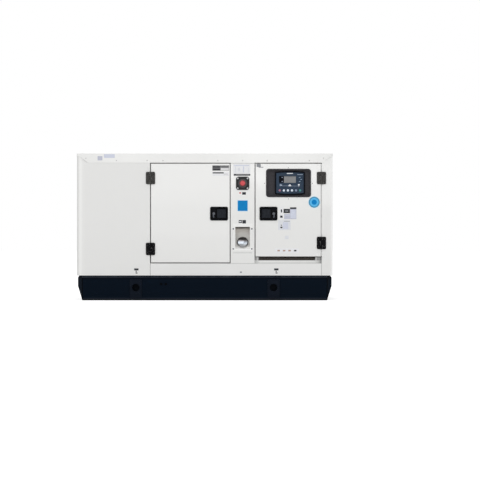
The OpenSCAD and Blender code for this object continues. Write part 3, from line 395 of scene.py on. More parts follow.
# The left panel's rounded corner is painted: a dark line of painted shade at its edge, then a painted highlight
# beside it.
corner_painted_shade_and_highlight = powder_coat("corner_panel_painted_shade_and_highlight", ("X", [
    (-0.91, 0.775), (-0.8994, 0.775), (-0.8986, 0.7), (-0.8935, 0.69), (-0.8885, 0.745), (-0.883, 0.845),
    (-0.873, 0.865), (-0.866, 0.835), (-0.858, 0.795), (-0.84, 0.778)], 0.03))
# The corner post is painted lighter towards its top: painted light.
post_painted_light_coat = powder_coat("corner_post_painted_light", ("Z", [
    (0.26, 0.775), (0.39, 0.8), (0.46, 0.795), (0.63, 0.785), (0.7, 0.845), (0.8, 0.86), (0.9, 0.875),
    (1.0, 0.835)], 0.03))
POST_FOLD = 0.8885
dress("front_plain_panel", corner_painted_shade_and_highlight)
dress("front_post", post_painted_light_coat, cuts=[((POST_FOLD, 0, 0), (1, 0, 0))],
    also=[(lambda face, middle: middle.x > POST_FOLD and abs(face.normal.y) > 0.5, post_fold_painted_highlight_coat)])
for node in ("front_sill", "rear_plain_panel", "rear_sill", "rear_post", "rear_doors", "left_end_wall",
        "right_end_wall", "inlet_louvres"):
    dress(node, canopy_coat)
for node in ("front_mullion", "front_header", "rear_mullion", "rear_header", "control_door"):
    dress(node, middle_painted_light_coat)
# The engine door is painted lighter towards its top: painted light.
dress("engine_door", powder_coat("engine_door_painted_light", ("Z", [
    (0.26, 0.8), (0.42, 0.81), (0.49, 0.828), (0.64, 0.832), (0.7, 0.848), (0.8, 0.862), (1.0, 0.866)], 0.03)))

# A strip with two brackets leaves a slot for the cables under the control door. The brackets carry painted
# shade with a painted highlight on their inner sides, the strip is painted darker towards both ends as
# painted shade, and a brush of brown bristles in a black holder keeps the draught out.
STRIP_TOP, SLOT_LEFT, SLOT_RIGHT = 0.282, 0.382, 0.777
bracket_painted_shade = powder_coat("bracket_painted_shade", ("X", [
    (0.351, 0.2), (0.359, 0.22), (0.365, 0.3), (0.369, 0.52), (0.374, 0.5), (0.378, 0.24), (0.779, 0.3),
    (0.782, 0.55), (0.786, 0.52), (0.79, 0.28), (0.803, 0.26), (0.807, 0.34), (0.812, 0.16), (0.82, 0.18),
    (0.825, 0.36)], 0.003))
strip_painted_shade = powder_coat("strip_painted_shade", ("X", [
    (0.351, 0.4), (0.358, 0.5), (0.372, 0.6), (0.39, 0.76), (0.58, 0.75), (0.77, 0.71), (0.795, 0.58),
    (0.806, 0.46), (0.813, 0.28), (0.82, 0.3), (0.825, 0.5)], 0.006))
dress("cable_outlet", strip_painted_shade, also=[(lambda face, middle: middle.z > STRIP_TOP, bracket_painted_shade)],
      cuts=[((0, 0, STRIP_TOP), (0, 0, 1))])

# The roof is one pressed cap of the same sheet, so its outer edges are bent to a wider radius. It is
# held by small white screws along both lips.
roof_low, roof_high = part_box("roof")
# The roof's coat is brighter than the panels and changes along its length: painted light.
roof_painted_light_coat = finish("roof_painted_light_coat", ("X", [
    (-0.9, 0.845), (-0.76, 0.85), (-0.54, 0.885), (-0.3, 0.866), (0.0, 0.862), (0.2, 0.88), (0.33, 0.91),
    (0.58, 0.905), (0.74, 0.885), (0.86, 0.86), (0.9, 0.85)], 0.06), (60, 3, 0.62, 0.74), ORANGE_PEEL, specular=0.1)
dress("roof", roof_painted_light_coat, 0.0006, fold=(lambda line: all(abs(point.co.z - roof_high.z) < 0.0003
    for point in line.verts), 0.004))

screw_tree, given, make = new_tree(
    "pan_head_screws", {"Head radius": 0.006, "Head height": 0.0028, "Recess radius": 0.0022})
half_height = make("MULTIPLY", given["Head height"], 0.5)
shoulder = make("MULTIPLY", given["Head radius"], 0.94)
crown = make("MULTIPLY", given["Head radius"], 0.6)
skirt = make("MeshCone", Vertices=20, Radius_Top=shoulder, Radius_Bottom=given["Head radius"], Depth=half_height)
dome = make("MeshCone", Vertices=20, Radius_Top=crown, Radius_Bottom=shoulder, Depth=half_height)
recess = make("MeshCylinder", Vertices=6, Radius=given["Recess radius"], Depth=0.0003)
dome_up = make("Transform", dome, Translation=make("CombineXYZ", Z=half_height))
recess_up = make("Transform", recess, Translation=make("CombineXYZ", Z=given["Head height"]))
recess_mark = make("StoreNamedAttribute", recess_up, Name="recess", Value=True, data_type="BOOLEAN", domain="FACE")
head = make("JoinGeometry")
for part in (recess_mark, dome_up, skirt):
    feed(screw_tree, head, part)
facing = make("InputNamedAttribute", "facing", data_type="FLOAT_VECTOR")
turned = make("FunctionNodeAlignRotationToVector", Vector=facing, axis="Z")
heads = make("InstanceOnPoints", given["Geometry"], Instance=head, Rotation=turned)
head_finish = make("SetMaterial", make("RealizeInstances", heads))
recess_dark = finish("screw_recess_shadow", (0.02, 0.02, 0.022), 0.7)
recess_finish = end_tree(screw_tree, head_finish, recess_dark)
feed(screw_tree, recess_finish, Selection=make("InputNamedAttribute", "recess", data_type="BOOLEAN"))


def screws(name, points, radius, height, material, recess_radius=None, body="housing", facing=None):
    """Screw heads that face away from the set's middle plane, or one way."""
    host = point_mesh(name, points)
    ways = [number for point in points for number in facing or (0, copysign(1, point[1]), 0)]
    host.attributes.new("facing", "FLOAT_VECTOR", "POINT").data.foreach_set("vector", ways)
    feed(screw_tree, head_finish, Material=material)
    sizes = {"Head radius": radius, "Head height": height, "Recess radius": recess_radius or radius * 0.36}
    return grown(name, host, screw_tree, sizes, body)


LIP_SCREW_Z = 0.9845
lip_screws = [(x, LIP_SCREW_Z) for x in (-0.621, -0.4055, -0.2936, 0.0922, 0.2668, 0.44, 0.737)]
lip_screws += [(-0.837, 1.0004), (0.836, 1.001)]
screws("roof_screws", [(x, y, z) for y in (roof_low.y, roof_high.y) for x, z in lip_screws], 0.0058, 0.0022,
       finish("white_screw_paint", (0.72, 0.72, 0.71), (300, 2, 0.3, 0.5)), 0.0014)

# Grilles stand behind the openings in the end walls: galvanised rods over the air outlet, and white
# louvre blades over the inlet.
dress("outlet_guard", finish("galvanised_rod", (90, 5, (0.36, 0.37, 0.38), (0.52, 0.53, 0.54)), (45, 3, 0.34, 0.58),
    (600, 2, 0.0001, 0.5), metallic=0.9), 0.0006)

# Black extruded rubber tube seals the doors. It is pushed onto the sealing lips, with mitred corners.
seal_rubber = finish("seal_rubber", (80, 4, (0.01, 0.01, 0.01), (0.022, 0.022, 0.022)), (200, 3, 0.6, 0.85),
    (900, 2, 0.0001, 0.6))
dress("door_seals", seal_rubber, 0.0035, 4)

# Grey open-cell foam lines the walls, roof and doors against noise. On the doors its inner face is
# cut into soft egg-box peaks, and the foam is glued in.
lining_foam = finish("lining_foam", (160, 4, (0.045, 0.047, 0.051), (0.085, 0.087, 0.092)), (90, 2, 0.88, 1.0),
    (1400, 3, 0.0008, 0.9), specular=0.2)
dress("wall_lining", lining_foam, 0.002)

FOAM_PEAKS = {"Pitch": 0.034, "Depth": 0.01}
FOAM_CELL = 0.0057      # the mesh width of the cut face
foam_tree, given, make = new_tree("egg_box_foam", FOAM_PEAKS)
place = make("SeparateXYZ", make("InputPosition"))
rate = make("DIVIDE", tau, given["Pitch"])
waves = [make("COSINE", make("MULTIPLY", place.outputs[axis], rate)) for axis in "XZ"]
drop = make("MULTIPLY_ADD", make("ADD", *waves), 0.25, -0.5)
shift = make("CombineXYZ", Y=make("MULTIPLY", drop, given["Depth"]))
cut_face = make("InputNamedAttribute", "cut_face", data_type="BOOLEAN")
end_tree(foam_tree, make("SetPosition", given["Geometry"], Selection=cut_face, Offset=shift), lining_foam,
    smooth=True)


def stations(start, end, marks):
    """Places from start to end, about a foam cell apart and one at each mark."""
    points = sorted({start, end, *marks})
    made = [start]
    for first, last in zip(points, points[1:]):
        count = max(1, round((last - first) / FOAM_CELL))
        made += [first + (last - first) * step / count for step in range(1, count + 1)]
    return made


def door_foam(node, insets):
    """The lining of a door as a fine slab, with rectangular holes a little inside other pieces."""
    holes = []
    for other, inset in insets.items():
        low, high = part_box(other)
        holes.append((low.x + inset, high.x - inset, low.z + inset, high.z - inset))
    low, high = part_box(node)
    xs = stations(low.x, high.x, [edge for hole in holes for edge in hole[:2]])
    zs = stations(low.z, high.z, [edge for hole in holes for edge in hole[2:]])
    work = bmesh.new()
    cut_mark = work.verts.layers.int.new("cut_face")
    grid = [[work.verts.new((x, high.y, z)) for x in xs] for z in zs]
    for row in range(len(zs) - 1):
        for column in range(len(xs) - 1):
            middle_x = (xs[column] + xs[column + 1]) / 2
            middle_z = (zs[row] + zs[row + 1]) / 2
            if not any(x0 < middle_x < x1 and z0 < middle_z < z1 for x0, x1, z0, z1 in holes):
                work.faces.new((grid[row][column], grid[row + 1][column], grid[row + 1][column + 1],
                    grid[row][column + 1]))
    bmesh.ops.delete(work, geom=[point for point in work.verts if not point.link_faces], context="VERTS")
    for point in work.verts:
        point[cut_mark] = 1
    for item in bmesh.ops.extrude_face_region(work, geom=work.faces[:])["geom"]:
        if isinstance(item, bmesh.types.BMVert):
            item.co.y = low.y
            item[cut_mark] = 0
    bmesh.ops.recalc_face_normals(work, faces=work.faces)
    mesh = bpy.data.meshes.new(node + "_egg_box")
    work.to_mesh(mesh)
    work.free()
    cut_points = [bool(item.value) for item in mesh.attributes["cut_face"].data]
    mesh.attributes.remove(mesh.attributes["cut_face"])
    mesh.attributes.new("cut_face", "BOOLEAN", "POINT").data.foreach_set("value", cut_points)
    foam = grown(node + "_egg_box", mesh, foam_tree, FOAM_PEAKS, body_of_solid[node])
    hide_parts(node)


door_foam("engine_door_lining", {"engine_latch": 0.006})
door_foam("control_door_lining", {"control_latch": 0.006, "window_trim": 0.003})

# Black die-cast hinges carry the doors: two leaves on a steel pin, with three knuckles. Each leaf is
# held by two countersunk black screws.
# The upper hinges are painted lighter than the lower ones: painted light.
hinge_black_painted_light = finish("hinge_black_painted_light", ("Z", [(0.45, (0.003, 0.003, 0.0038)), (0.8, (0.058, 0.056, 0.053))], 0.6,
    (24, 5)), (150, 3, 0.3, 0.52), (700, 3, 0.00018, 0.7), specular=0.06)
for node in ("frame_hinge_leaves", "engine_door_hinges", "control_door_hinges", "rear_hinges"):
    dress(node, hinge_black_painted_light, 0.0012, 3)
black_screw = finish("black_screw", (0.03, 0.03, 0.032), (400, 2, 0.22, 0.42), metallic=0.6)

LEAF_SCREW_X, LEAF_SCREW_Z, HINGE_Y, HINGE_HALF = 0.0215, 0.0261, 0.427, 0.0435
ENGINE_LEAVES, CONTROL_LEAVES = [(pin - LEAF_SCREW_X, pin + LEAF_SCREW_X) for pin in (-0.3815, 0.8215)]
for name, body, side, columns in (
        ("frame_hinge_screws", "housing", -1, (ENGINE_LEAVES[0], CONTROL_LEAVES[1])),
        ("engine_hinge_screws", "engine_door", -1, ENGINE_LEAVES[1:]),
        ("control_hinge_screws", "control_door", -1, CONTROL_LEAVES[:1]),
        ("rear_hinge_screws", "housing", 1, ENGINE_LEAVES + CONTROL_LEAVES)):
    points = []
    for x in columns:
        low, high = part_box("engine_door_hinges" if x < 0.2 or side > 0 else "control_door_hinges")
        points += [(x, side * HINGE_Y, middle + step) for middle in (high.z - HINGE_HALF, low.z + HINGE_HALF)
            for step in (-LEAF_SCREW_Z, LEAF_SCREW_Z)]
    screws(name, points, 0.004, 0.0012, black_screw, 0.0017, body)

# The latches are moulded black dishes let into the doors, with a slate-coloured paddle on a steel pin,
# and a key barrel with a dust flap under it. Four small screws hold each dish from the front.
latch_black = finish("latch_black", (50, 4, (0.0014, 0.0016, 0.0026), (0.0042, 0.0047, 0.007)), (120, 3, 0.24, 0.42),
    (1100, 2, 0.00012, 0.6), specular=0.06)
key_zinc = finish("key_barrel_zinc", (260, 3, (0.065, 0.07, 0.082), (0.135, 0.14, 0.155)), (500, 2, 0.22, 0.42),
    metallic=1.0)
flap_slate = finish("dust_flap_slate", (90, 3, (0.022, 0.027, 0.038), (0.042, 0.05, 0.068)), (200, 2, 0.32, 0.5))
paddle_slate = finish("paddle_slate", (70, 4, (0.0065, 0.0085, 0.0125), (0.012, 0.0145, 0.02)), (160, 3, 0.34, 0.56),
    (1300, 2, 0.0001, 0.5), specular=0.12)
for node in ("engine_latch", "control_latch", "rear_latches"):
    dress(node, latch_black, 0.0012, 3)
for node in ("engine_paddle", "control_paddle"):
    dress(node, paddle_slate, 0.001, 3)


def ring_outline(centre_x, centre_z, radius, count):
    return [(centre_x + radius * cos(tau * i / count), centre_z + radius * sin(tau * i / count))
            for i in range(count)]


def slit_outline(centre_x, centre_z, half_x, half_z):
    return [(centre_x - half_x, centre_z - half_z), (centre_x + half_x, centre_z - half_z),
            (centre_x + half_x, centre_z + half_z), (centre_x - half_x, centre_z + half_z)]


def plates(name, layers, materials, body="housing", edge=0.0):
    """One piece from flat plates: each layer is an outline of (x, z) points, the depths of its front
    and back, and a material number."""
    work = bmesh.new()
    for outline, y_front, y_back, number in layers:
        front = [work.verts.new((x, y_front, z)) for x, z in outline]
        back = [work.verts.new((x, y_back, z)) for x, z in outline]
        made = [work.faces.new((front[i], front[i - 1], back[i - 1], back[i])) for i in range(len(outline))]
        for face in made + [work.faces.new(front), work.faces.new(back[::-1])]:
            face.material_index = number
            face.smooth = True
    bmesh.ops.recalc_face_normals(work, faces=work.faces)
    mesh = bpy.data.meshes.new(name)
    work.to_mesh(mesh)
    work.free()
    for material in materials:
        mesh.materials.append(material)
    mesh.set_sharp_from_angle(angle=CREASE)
    piece = put(name, mesh)
    if edge:
        round_edges(piece, edge, 2)
    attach(piece, body)
    return piece


for name, node, body, key_side in (("engine_key_barrel", "engine_latch", "engine_door", -1),
        ("control_key_barrel", "control_latch", "control_door", 1)):
    low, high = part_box(node)
    latch_x, latch_z = (low.x + high.x) / 2, (low.z + high.z) / 2
    key_x = latch_x + key_side * 0.037
    face_y = front_y - 0.005
    lean = -key_side * 0.2
    edge = corner_outline(-0.005, 0.005, -0.01, 0.01, 0.003)
    flap = [(key_x + key_side * 0.002 + x * cos(lean) - z * sin(lean),
        latch_z - 0.019 + x * sin(lean) + z * cos(lean)) for x, z in edge]
    plates(name, [(ring_outline(key_x, latch_z, 0.0092, 32), face_y - 0.0007, face_y + 0.0002, 0),
        (slit_outline(key_x, latch_z, 0.0009, 0.0045), face_y - 0.0009, face_y - 0.0002, 1),
        (flap, face_y - 0.0006, face_y + 0.0002, 2)], [key_zinc, recess_dark, flap_slate], body, 0.0003)
    screws(name.replace("key_barrel", "latch_screws"),
           [(latch_x + x, front_y - 0.004, latch_z + z) for x in (-0.058, 0.058) for z in (-0.0435, 0.0435)],
           0.0028, 0.0009, black_screw, 0.0012, body)

# Grey sealant fills the joints between the fixed sheets, and stands a hair proud of the coat; some of its
# lines are painted shadow. On the skid, dark lines on the joints and two dark discs in the drain holes are
# painted shadow.
seam_and_shadow_grey = finish("seam_sealant_and_painted_shadow", (40, 4, (0.25, 0.25, 0.245), (0.34, 0.34, 0.335)), (200, 3, 0.45, 0.65))
mitre_grey = finish("mitre_grey", (60, 3, (0.36, 0.36, 0.352), (0.48, 0.48, 0.47)), (200, 2, 0.4, 0.6))
sill_low, sill_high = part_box("front_sill")
mullion_low, mullion_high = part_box("front_mullion")
filler_low, filler_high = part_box("filler_recess")
SILL_TOP, SEAM_Y, SEAM_CORNER = 0.26, 0.425, 0.0004
BEAD_UP, BEAD_DOWN = 0.0003, 0.0001      # a bead of sealant, above and below the coat
for side, name in ((-1, "front"), (1, "rear")):
    lines = [(mullion_high.x, sill_high.x, SILL_TOP + 0.0015, SILL_TOP + 0.0036),
        (mullion_low.x, mullion_high.x, SILL_TOP - 0.0006, SILL_TOP + 0.0012),
        # A line under the roof lip: partly the header's seam, partly painted shadow.
        (mullion_low.x + 0.002, mullion_high.x - 0.002, roof_low.z - 0.0068, roof_low.z - 0.005),
        (sill_low.x + 0.0005, sill_low.x + 0.0033, sill_low.z, SILL_TOP - 0.001),
        (sill_high.x - 0.0045, sill_high.x - 0.0021, sill_low.z, SILL_TOP + 0.0015)]
    if side < 0:
        # A line of painted shadow under the filler flange.
        lines.append((filler_low.x + 0.004, filler_high.x - 0.004, 0.3334, 0.3354))
    plates(name + "_seams", [(corner_outline(*line, SEAM_CORNER, 2), side * (SEAM_Y + BEAD_UP),
        side * (SEAM_Y - BEAD_DOWN), 0) for line in lines], [seam_and_shadow_grey])
for side, name, mitre_y in ((-1, "front", roof_low.y), (1, "rear", roof_high.y)):
    mitres = [([(top_x, 1.0105), (foot_x, foot_z), (foot_x + 0.0006, foot_z + 0.0008), (top_x + 0.0006, 1.0113)],
        mitre_y + side * BEAD_UP, mitre_y - side * BEAD_DOWN, 0)
        for top_x, foot_x, foot_z in ((-0.88, -0.827, 0.9702), (0.898, 0.848, 0.986))]
    plates(name + "_lip_mitres", mitres, [mitre_grey])
rail_low, rail_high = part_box("base_front_rail")
# Dark lines on the skid's joints and dark discs in its drain holes are painted shadow.
skid_shadow_marks = [(corner_outline(x - 0.0028, x + 0.0028, 0.004, 0.158, SEAM_CORNER, 2), side * 0.4234, side * 0.4226, 0)
    for side in (-1, 1) for x in (rail_low.x, rail_high.x)]
skid_shadow_marks += [(ring_outline(x, 0.1152, 0.0092, 28), -0.4236, -0.42, 0) for x in (-0.306, -0.274)]
plates("skid_painted_shadows", skid_shadow_marks, [finish("joint_and_hole_painted_shadow", (90, 3, (0.0008, 0.0009, 0.0012), (0.002, 0.0022, 0.0028)),
    (160, 2, 0.6, 0.8), specular=0.02)])

# A pale rubber strip runs down the edge of the post beside the control door, just behind its face. It is
# glued on, and the door swings away from it. It fills the gap with painted light, where the gap would show shade.
POST_EDGE = 0.825
door_low, door_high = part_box("control_door")
gap_fill_outline = corner_outline(POST_EDGE - 0.005, POST_EDGE + 0.0001, door_low.z + 0.001, door_high.z - 0.001, 0.001, 2)
plates("post_gap_pale_fill", [(gap_fill_outline, front_y + 0.0004, front_y + 0.006, 0)],
    [finish("post_gap_fill_painted_light", (60, 4, (0.56, 0.56, 0.55), (0.68, 0.68, 0.67)), (150, 3, 0.6, 0.8))],
    edge=0.0006)

# The brush stands on the fold of the strip: three close rows of bristles that lean a little each way.
BRISTLES = {"Bristles": 260, "Width": SLOT_RIGHT - SLOT_LEFT - 0.005, "Height": 0.0195, "Thickness": 0.0009,
    "Lean": 0.16}
brush_tree, given, make = new_tree("brush_bristles", BRISTLES)
pitch = make("DIVIDE", given["Width"], given["Bristles"])
row = make("MeshLine", Count=given["Bristles"], Offset=make("CombineXYZ", X=pitch), mode="OFFSET")
feet = make("RealizeInstances", make("InstanceOnPoints", given["Geometry"], Instance=row))
bristle = make("MeshCylinder", Vertices=4, Radius=given["Thickness"], Depth=given["Height"])
lift = make("CombineXYZ", Z=make("MULTIPLY", given["Height"], 0.5))
back = make("MULTIPLY", given["Lean"], -1.0)
least, most = [make("CombineXYZ", X=angle, Y=angle) for angle in (back, given["Lean"])]
lean = make("FunctionNodeRandomValue", least, most, Seed=7, data_type="FLOAT_VECTOR")
upright = make("Transform", bristle, Translation=lift)
bristle_brown = finish("bristle_brown", (300, 3, (0.04, 0.032, 0.027), (0.075, 0.062, 0.052)), (400, 2, 0.6, 0.8))
end_tree(brush_tree, make("InstanceOnPoints", feet, Instance=upright, Rotation=lean), bristle_brown)
grown("cable_brush", [(SLOT_LEFT + 0.0025, front_y + row, STRIP_TOP + 0.001) for row in (0.006, 0.0085, 0.011)],
    brush_tree, BRISTLES)
plates("cable_brush_holder", [(corner_outline(SLOT_LEFT, SLOT_RIGHT, STRIP_TOP, STRIP_TOP + 0.004, 0.0008, 2),
    front_y + 0.0045, front_y + 0.0125, 0)], [seal_rubber])

# The window in the control door is framed by a black rubber trim, and the control panel behind it is
# folded steel with a fine dark grey texture. Four rivet heads hold the trim.
dress("window_trim", finish("trim_rubber", (70, 3, (0.027, 0.025, 0.029), (0.04, 0.038, 0.042)), (150, 3, 0.5, 0.75),
    (900, 2, 0.0001, 0.5), specular=0.2), 0.0018, 3)
dress("control_panel", finish("panel_coat", (260, 3, (0.031, 0.029, 0.034), (0.044, 0.042, 0.047)), (90, 2, 0.5, 0.7),
    (1500, 2, 0.0002, 0.8), specular=0.2))
trim_low, trim_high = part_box("window_trim")
trim_x, trim_z = (trim_low.x + trim_high.x) / 2, (trim_low.z + trim_high.z) / 2
dull_screw = finish("dull_screw", (0.3, 0.3, 0.31), (300, 2, 0.36, 0.55), metallic=0.3)
screws("window_screws", [
    (trim_x - 0.001, front_y, trim_high.z + 0.007), (trim_x, front_y, trim_low.z - 0.012),
    (trim_low.x - 0.0105, front_y, trim_z - 0.002), (trim_high.x + 0.0095, front_y, trim_z - 0.002)],
    0.0032, 0.0012, dull_screw, body="control_door")

# The controller is a moulded box with a raised near-black rim and a navy printed film over its face. The
# film has a grey display, a dark block with two small keys, six round keys, lamps and plain marks.
film_navy = finish("controller_film", (30, 3, (0.0185, 0.035, 0.061), (0.024, 0.044, 0.075)), (80, 2, 0.28, 0.42),
    (1600, 2, 0.00004, 0.4), specular=0.15)
rim_black = finish("controller_rim", (60, 3, (0.0026, 0.0034, 0.006), (0.005, 0.0062, 0.0095)), (140, 3, 0.32, 0.5),
    (1300, 2, 0.0001, 0.5), specular=0.03)
dress("controller", rim_black, 0.0007,
    also=[(lambda face, middle: face.normal.y < -0.9 and abs(middle.y - front_y) < 0.0006, film_navy)])
screen_low, screen_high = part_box("controller_screen")
display_grey = finish("display_grey", ("Z", [
    (screen_low.z, (0.11, 0.115, 0.12)), (screen_low.z + 0.004, (0.225, 0.227, 0.23)),
    (screen_high.z - 0.009, (0.24, 0.242, 0.245)), (screen_high.z - 0.006, (0.155, 0.16, 0.168)),
    (screen_high.z, (0.11, 0.115, 0.125))], 0.1), (60, 2, 0.18, 0.3), specular=0.2)
dress("controller_screen", display_grey, 0.0003)


def print_ink(name, colour, roughness=0.45):
    """Ink or a small moulded cap, with a little unevenness."""
    return finish(name, (250, 3, tuple(channel * 0.9 for channel in colour), colour),
        (400, 2, roughness - 0.08, roughness + 0.08), specular=0.08)


key_white = print_ink("key_white", (0.74, 0.81, 0.92))
keys_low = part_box("controller_keys")[0]
KEY_PITCH, KEY_HALF = 0.0286, 0.0135


def on_key(number):
    key_x = keys_low.x + 0.008 + number * KEY_PITCH
    return lambda face, middle: abs(middle.x - key_x) < KEY_HALF and middle.z < keys_low.z + 0.017


key_inks = (print_ink("key_red", (0.36, 0.17, 0.23)), key_white, key_white, key_white,
    print_ink("key_lilac", (0.26, 0.3, 0.42)), print_ink("key_green", (0.085, 0.27, 0.26)))
dress("controller_keys", rim_black, 0.0005, 3, also=[(on_key(i), ink) for i, ink in enumerate(key_inks)])

MARK_INKS = [print_ink("white_ink", (0.8, 0.82, 0.86)), print_ink("pale_ink", (0.34, 0.4, 0.5)),
    print_ink("lamp_blue", (0.45, 0.6, 0.78), 0.25), print_ink("dark_ink", (0.0045, 0.0055, 0.01))]
INK_WHITE, INK_PALE, INK_LAMP, INK_DARK = range(4)
FILM_UNDER, THIN_MARK = 0.0001, 0.0001      # how far marks reach into the film, and the thin ones above it


def mark(x0, x1, z0, z1, number, raised=0.00015, radius=0.0008):
    """A mark from its sides in millimetres."""
    sides = (x0 / 1000, x1 / 1000, z0 / 1000, z1 / 1000)
    return (corner_outline(*sides, radius, 2), front_y - raised, front_y + FILM_UNDER, number)


glyphs = [mark(*row) for row in (
    (523, 558, 828, 875.5, INK_DARK, THIN_MARK, 0.003), (578, 620.5, 890.3, 896, INK_WHITE),
    (651, 690, 883.5, 887.2, INK_PALE), (528.5, 545, 805.5, 815.5, INK_PALE),
    (530, 536, 815.5, 818.5, INK_PALE), (589, 609, 803.5, 810.5, INK_WHITE),
    (594, 604, 810.5, 816.5, INK_WHITE), (657, 669, 810.5, 818.5, INK_WHITE),
    (661, 665, 802, 810.5, INK_WHITE), (546.5, 589, 805, 806.8, INK_PALE, THIN_MARK, 0.0004),
    (609.5, 661, 804, 805.8, INK_PALE, THIN_MARK, 0.0004))]
for x, z in ((670, 865.5), (679.5, 851), (670, 836.5)):
    glyphs += [(ring_outline(x / 1000, z / 1000, 0.0026, 20), front_y - 0.0009, front_y + FILM_UNDER, INK_LAMP),
        mark(x - 7.5, x - 4, z - 1.2, z + 1.2, INK_PALE, THIN_MARK, 0.0004)]
glyphs += [(ring_outline(keys_low.x + 0.025, z, 0.0034, 24), front_y - 0.0027, front_y - 0.0018, INK_PALE)
    for z in (0.8655, 0.837)]
plates("controller_marks", glyphs, MARK_INKS, "control_door")

# The emergency stop is a red mushroom head on a black collar and square plate, held by four bright
# domed screws at the corners. The plate's corners are cut round.
collar_grey = finish("stop_collar_grey", (0.045, 0.045, 0.047), (150, 3, 0.35, 0.55))
# The outer ring of the red head is painted darker: painted shade.
stop_edge_painted_shade = finish("stop_red_edge_painted_shade", (60, 3, (0.12, 0.014, 0.018), (0.2, 0.024, 0.028)), (160, 2, 0.32, 0.5))
zinc_head = finish("zinc_head", (0.52, 0.53, 0.54), (300, 2, 0.22, 0.42), metallic=0.85)
stop_low, stop_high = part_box("stop_plate")
stop_x, stop_z = (stop_low.x + stop_high.x) / 2, (stop_low.z + stop_high.z) / 2
stop_plate = dress("stop_plate", finish("stop_plate_black", (70, 4, (0.008, 0.0083, 0.009), (0.016, 0.0165, 0.017)),
    (150, 3, 0.3, 0.5), (1000, 2, 0.00012, 0.6), specular=0.25), 0.001, 3,
    also=[(lambda face, middle: middle.y < front_y - 0.0045, collar_grey)])
CORNER_MIDDLE, CORNER_RADIUS, STOP_SCREW = 0.0275, 0.02, 0.0345
clipped = bmesh.new()
clipped.from_mesh(stop_plate.data)
for side_x, side_z in ((-1, -1), (1, -1), (1, 1), (-1, 1)):
    for angle in (15, 30, 45, 60, 75):
        across = Vector((side_x * cos(radians(angle)), 0, side_z * sin(radians(angle))))
        middle = Vector((stop_x + side_x * CORNER_MIDDLE, 0, stop_z + side_z * CORNER_MIDDLE))
        cut = bmesh.ops.bisect_plane(clipped, geom=clipped.verts[:] + clipped.edges[:] + clipped.faces[:],
            plane_co=middle + across * CORNER_RADIUS, plane_no=across, clear_outer=True)
        bmesh.ops.holes_fill(clipped, edges=[item for item in cut["geom_cut"]
            if isinstance(item, bmesh.types.BMEdge)])
clipped.to_mesh(stop_plate.data)
clipped.free()
stop_red = finish("stop_red", (60, 3, (0.56, 0.045, 0.055), (0.66, 0.065, 0.075)), (160, 2, 0.24, 0.4),
    (900, 2, 0.00006, 0.4))
dress("stop_button", stop_red, 0.0006, 3,
    also=[(lambda face, middle: hypot(middle.x - stop_x, middle.z - stop_z) > 0.0155, stop_edge_painted_shade)])
screws("stop_plate_screws", [(stop_x + x, front_y - 0.004, stop_z + z) for x in (-STOP_SCREW, STOP_SCREW)
    for z in (-STOP_SCREW, STOP_SCREW)], 0.006, 0.0026, zinc_head, 0.0018)

# The fuel filler is a folded recess with a flange, riveted over a hole in the panel. Its coat carries painted
# shade under its top edge and painted light towards its bottom, and the flange carries painted light. The
# neck is black pipe, and the cap is chromed steel with a painted reflection.
# Bands by height: painted shade, darkest under the recess's top edge, and painted light towards its bottom.
recess_painted_shade_coat = finish("filler_recess_painted_shade_coat", ("Z", [
    (0.35, (0.88, 0.875, 0.865)), (0.371, (0.86, 0.855, 0.84)), (0.383, (0.66, 0.65, 0.63)),
    (0.44, (0.6, 0.59, 0.565)), (0.465, (0.61, 0.595, 0.565)), (0.479, (0.65, 0.625, 0.59)),
    (0.486, (0.7, 0.665, 0.62)), (0.493, (0.79, 0.75, 0.7)), (0.5, (0.745, 0.7, 0.65)),
    (0.507, (0.47, 0.435, 0.395)), (0.514, (0.13, 0.12, 0.11)), (0.517, (0.1, 0.093, 0.085))], 0.02),
    (60, 3, 0.36, 0.5), ORANGE_PEEL)
# The flange is painted brighter along its bottom and its top: painted light.
flange_painted_light_coat = powder_coat("filler_flange_painted_light", ("Z", [
    (filler_low.z, 0.88), (0.362, 0.87), (0.378, 0.81), (0.505, 0.81), (0.518, 0.865), (filler_high.z, 0.865)], 0.02))
dress("filler_recess", flange_painted_light_coat, also=[(lambda face, middle: middle.y > front_y + 0.0004, recess_painted_shade_coat)])
dress("filler_neck", finish("filler_pipe_black", (60, 3, (0.012, 0.013, 0.014), (0.022, 0.023, 0.026)),
    (90, 3, 0.4, 0.6), (600, 2, 0.0001, 0.5)))
cap_low, cap_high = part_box("fuel_cap")
# The chrome is banded by height with a painted reflection: dark above, a bright band across the middle, grey below.
cap_chrome = finish("cap_chrome", ("Z", [
    (cap_low.z, (0.17, 0.17, 0.18)), (0.38, (0.21, 0.215, 0.225)), (0.387, (0.27, 0.275, 0.285)),
    (0.394, (0.3, 0.315, 0.335)), (0.401, (0.37, 0.4, 0.44)), (0.4075, (0.41, 0.445, 0.49)),
    (0.413, (0.35, 0.37, 0.41)), (0.418, (0.24, 0.235, 0.24)), (0.423, (0.11, 0.1, 0.1)),
    (0.429, (0.03, 0.028, 0.028)), (cap_high.z, (0.03, 0.028, 0.028))], 0.1), (70, 3, 0.08, 0.18), metallic=1.0)
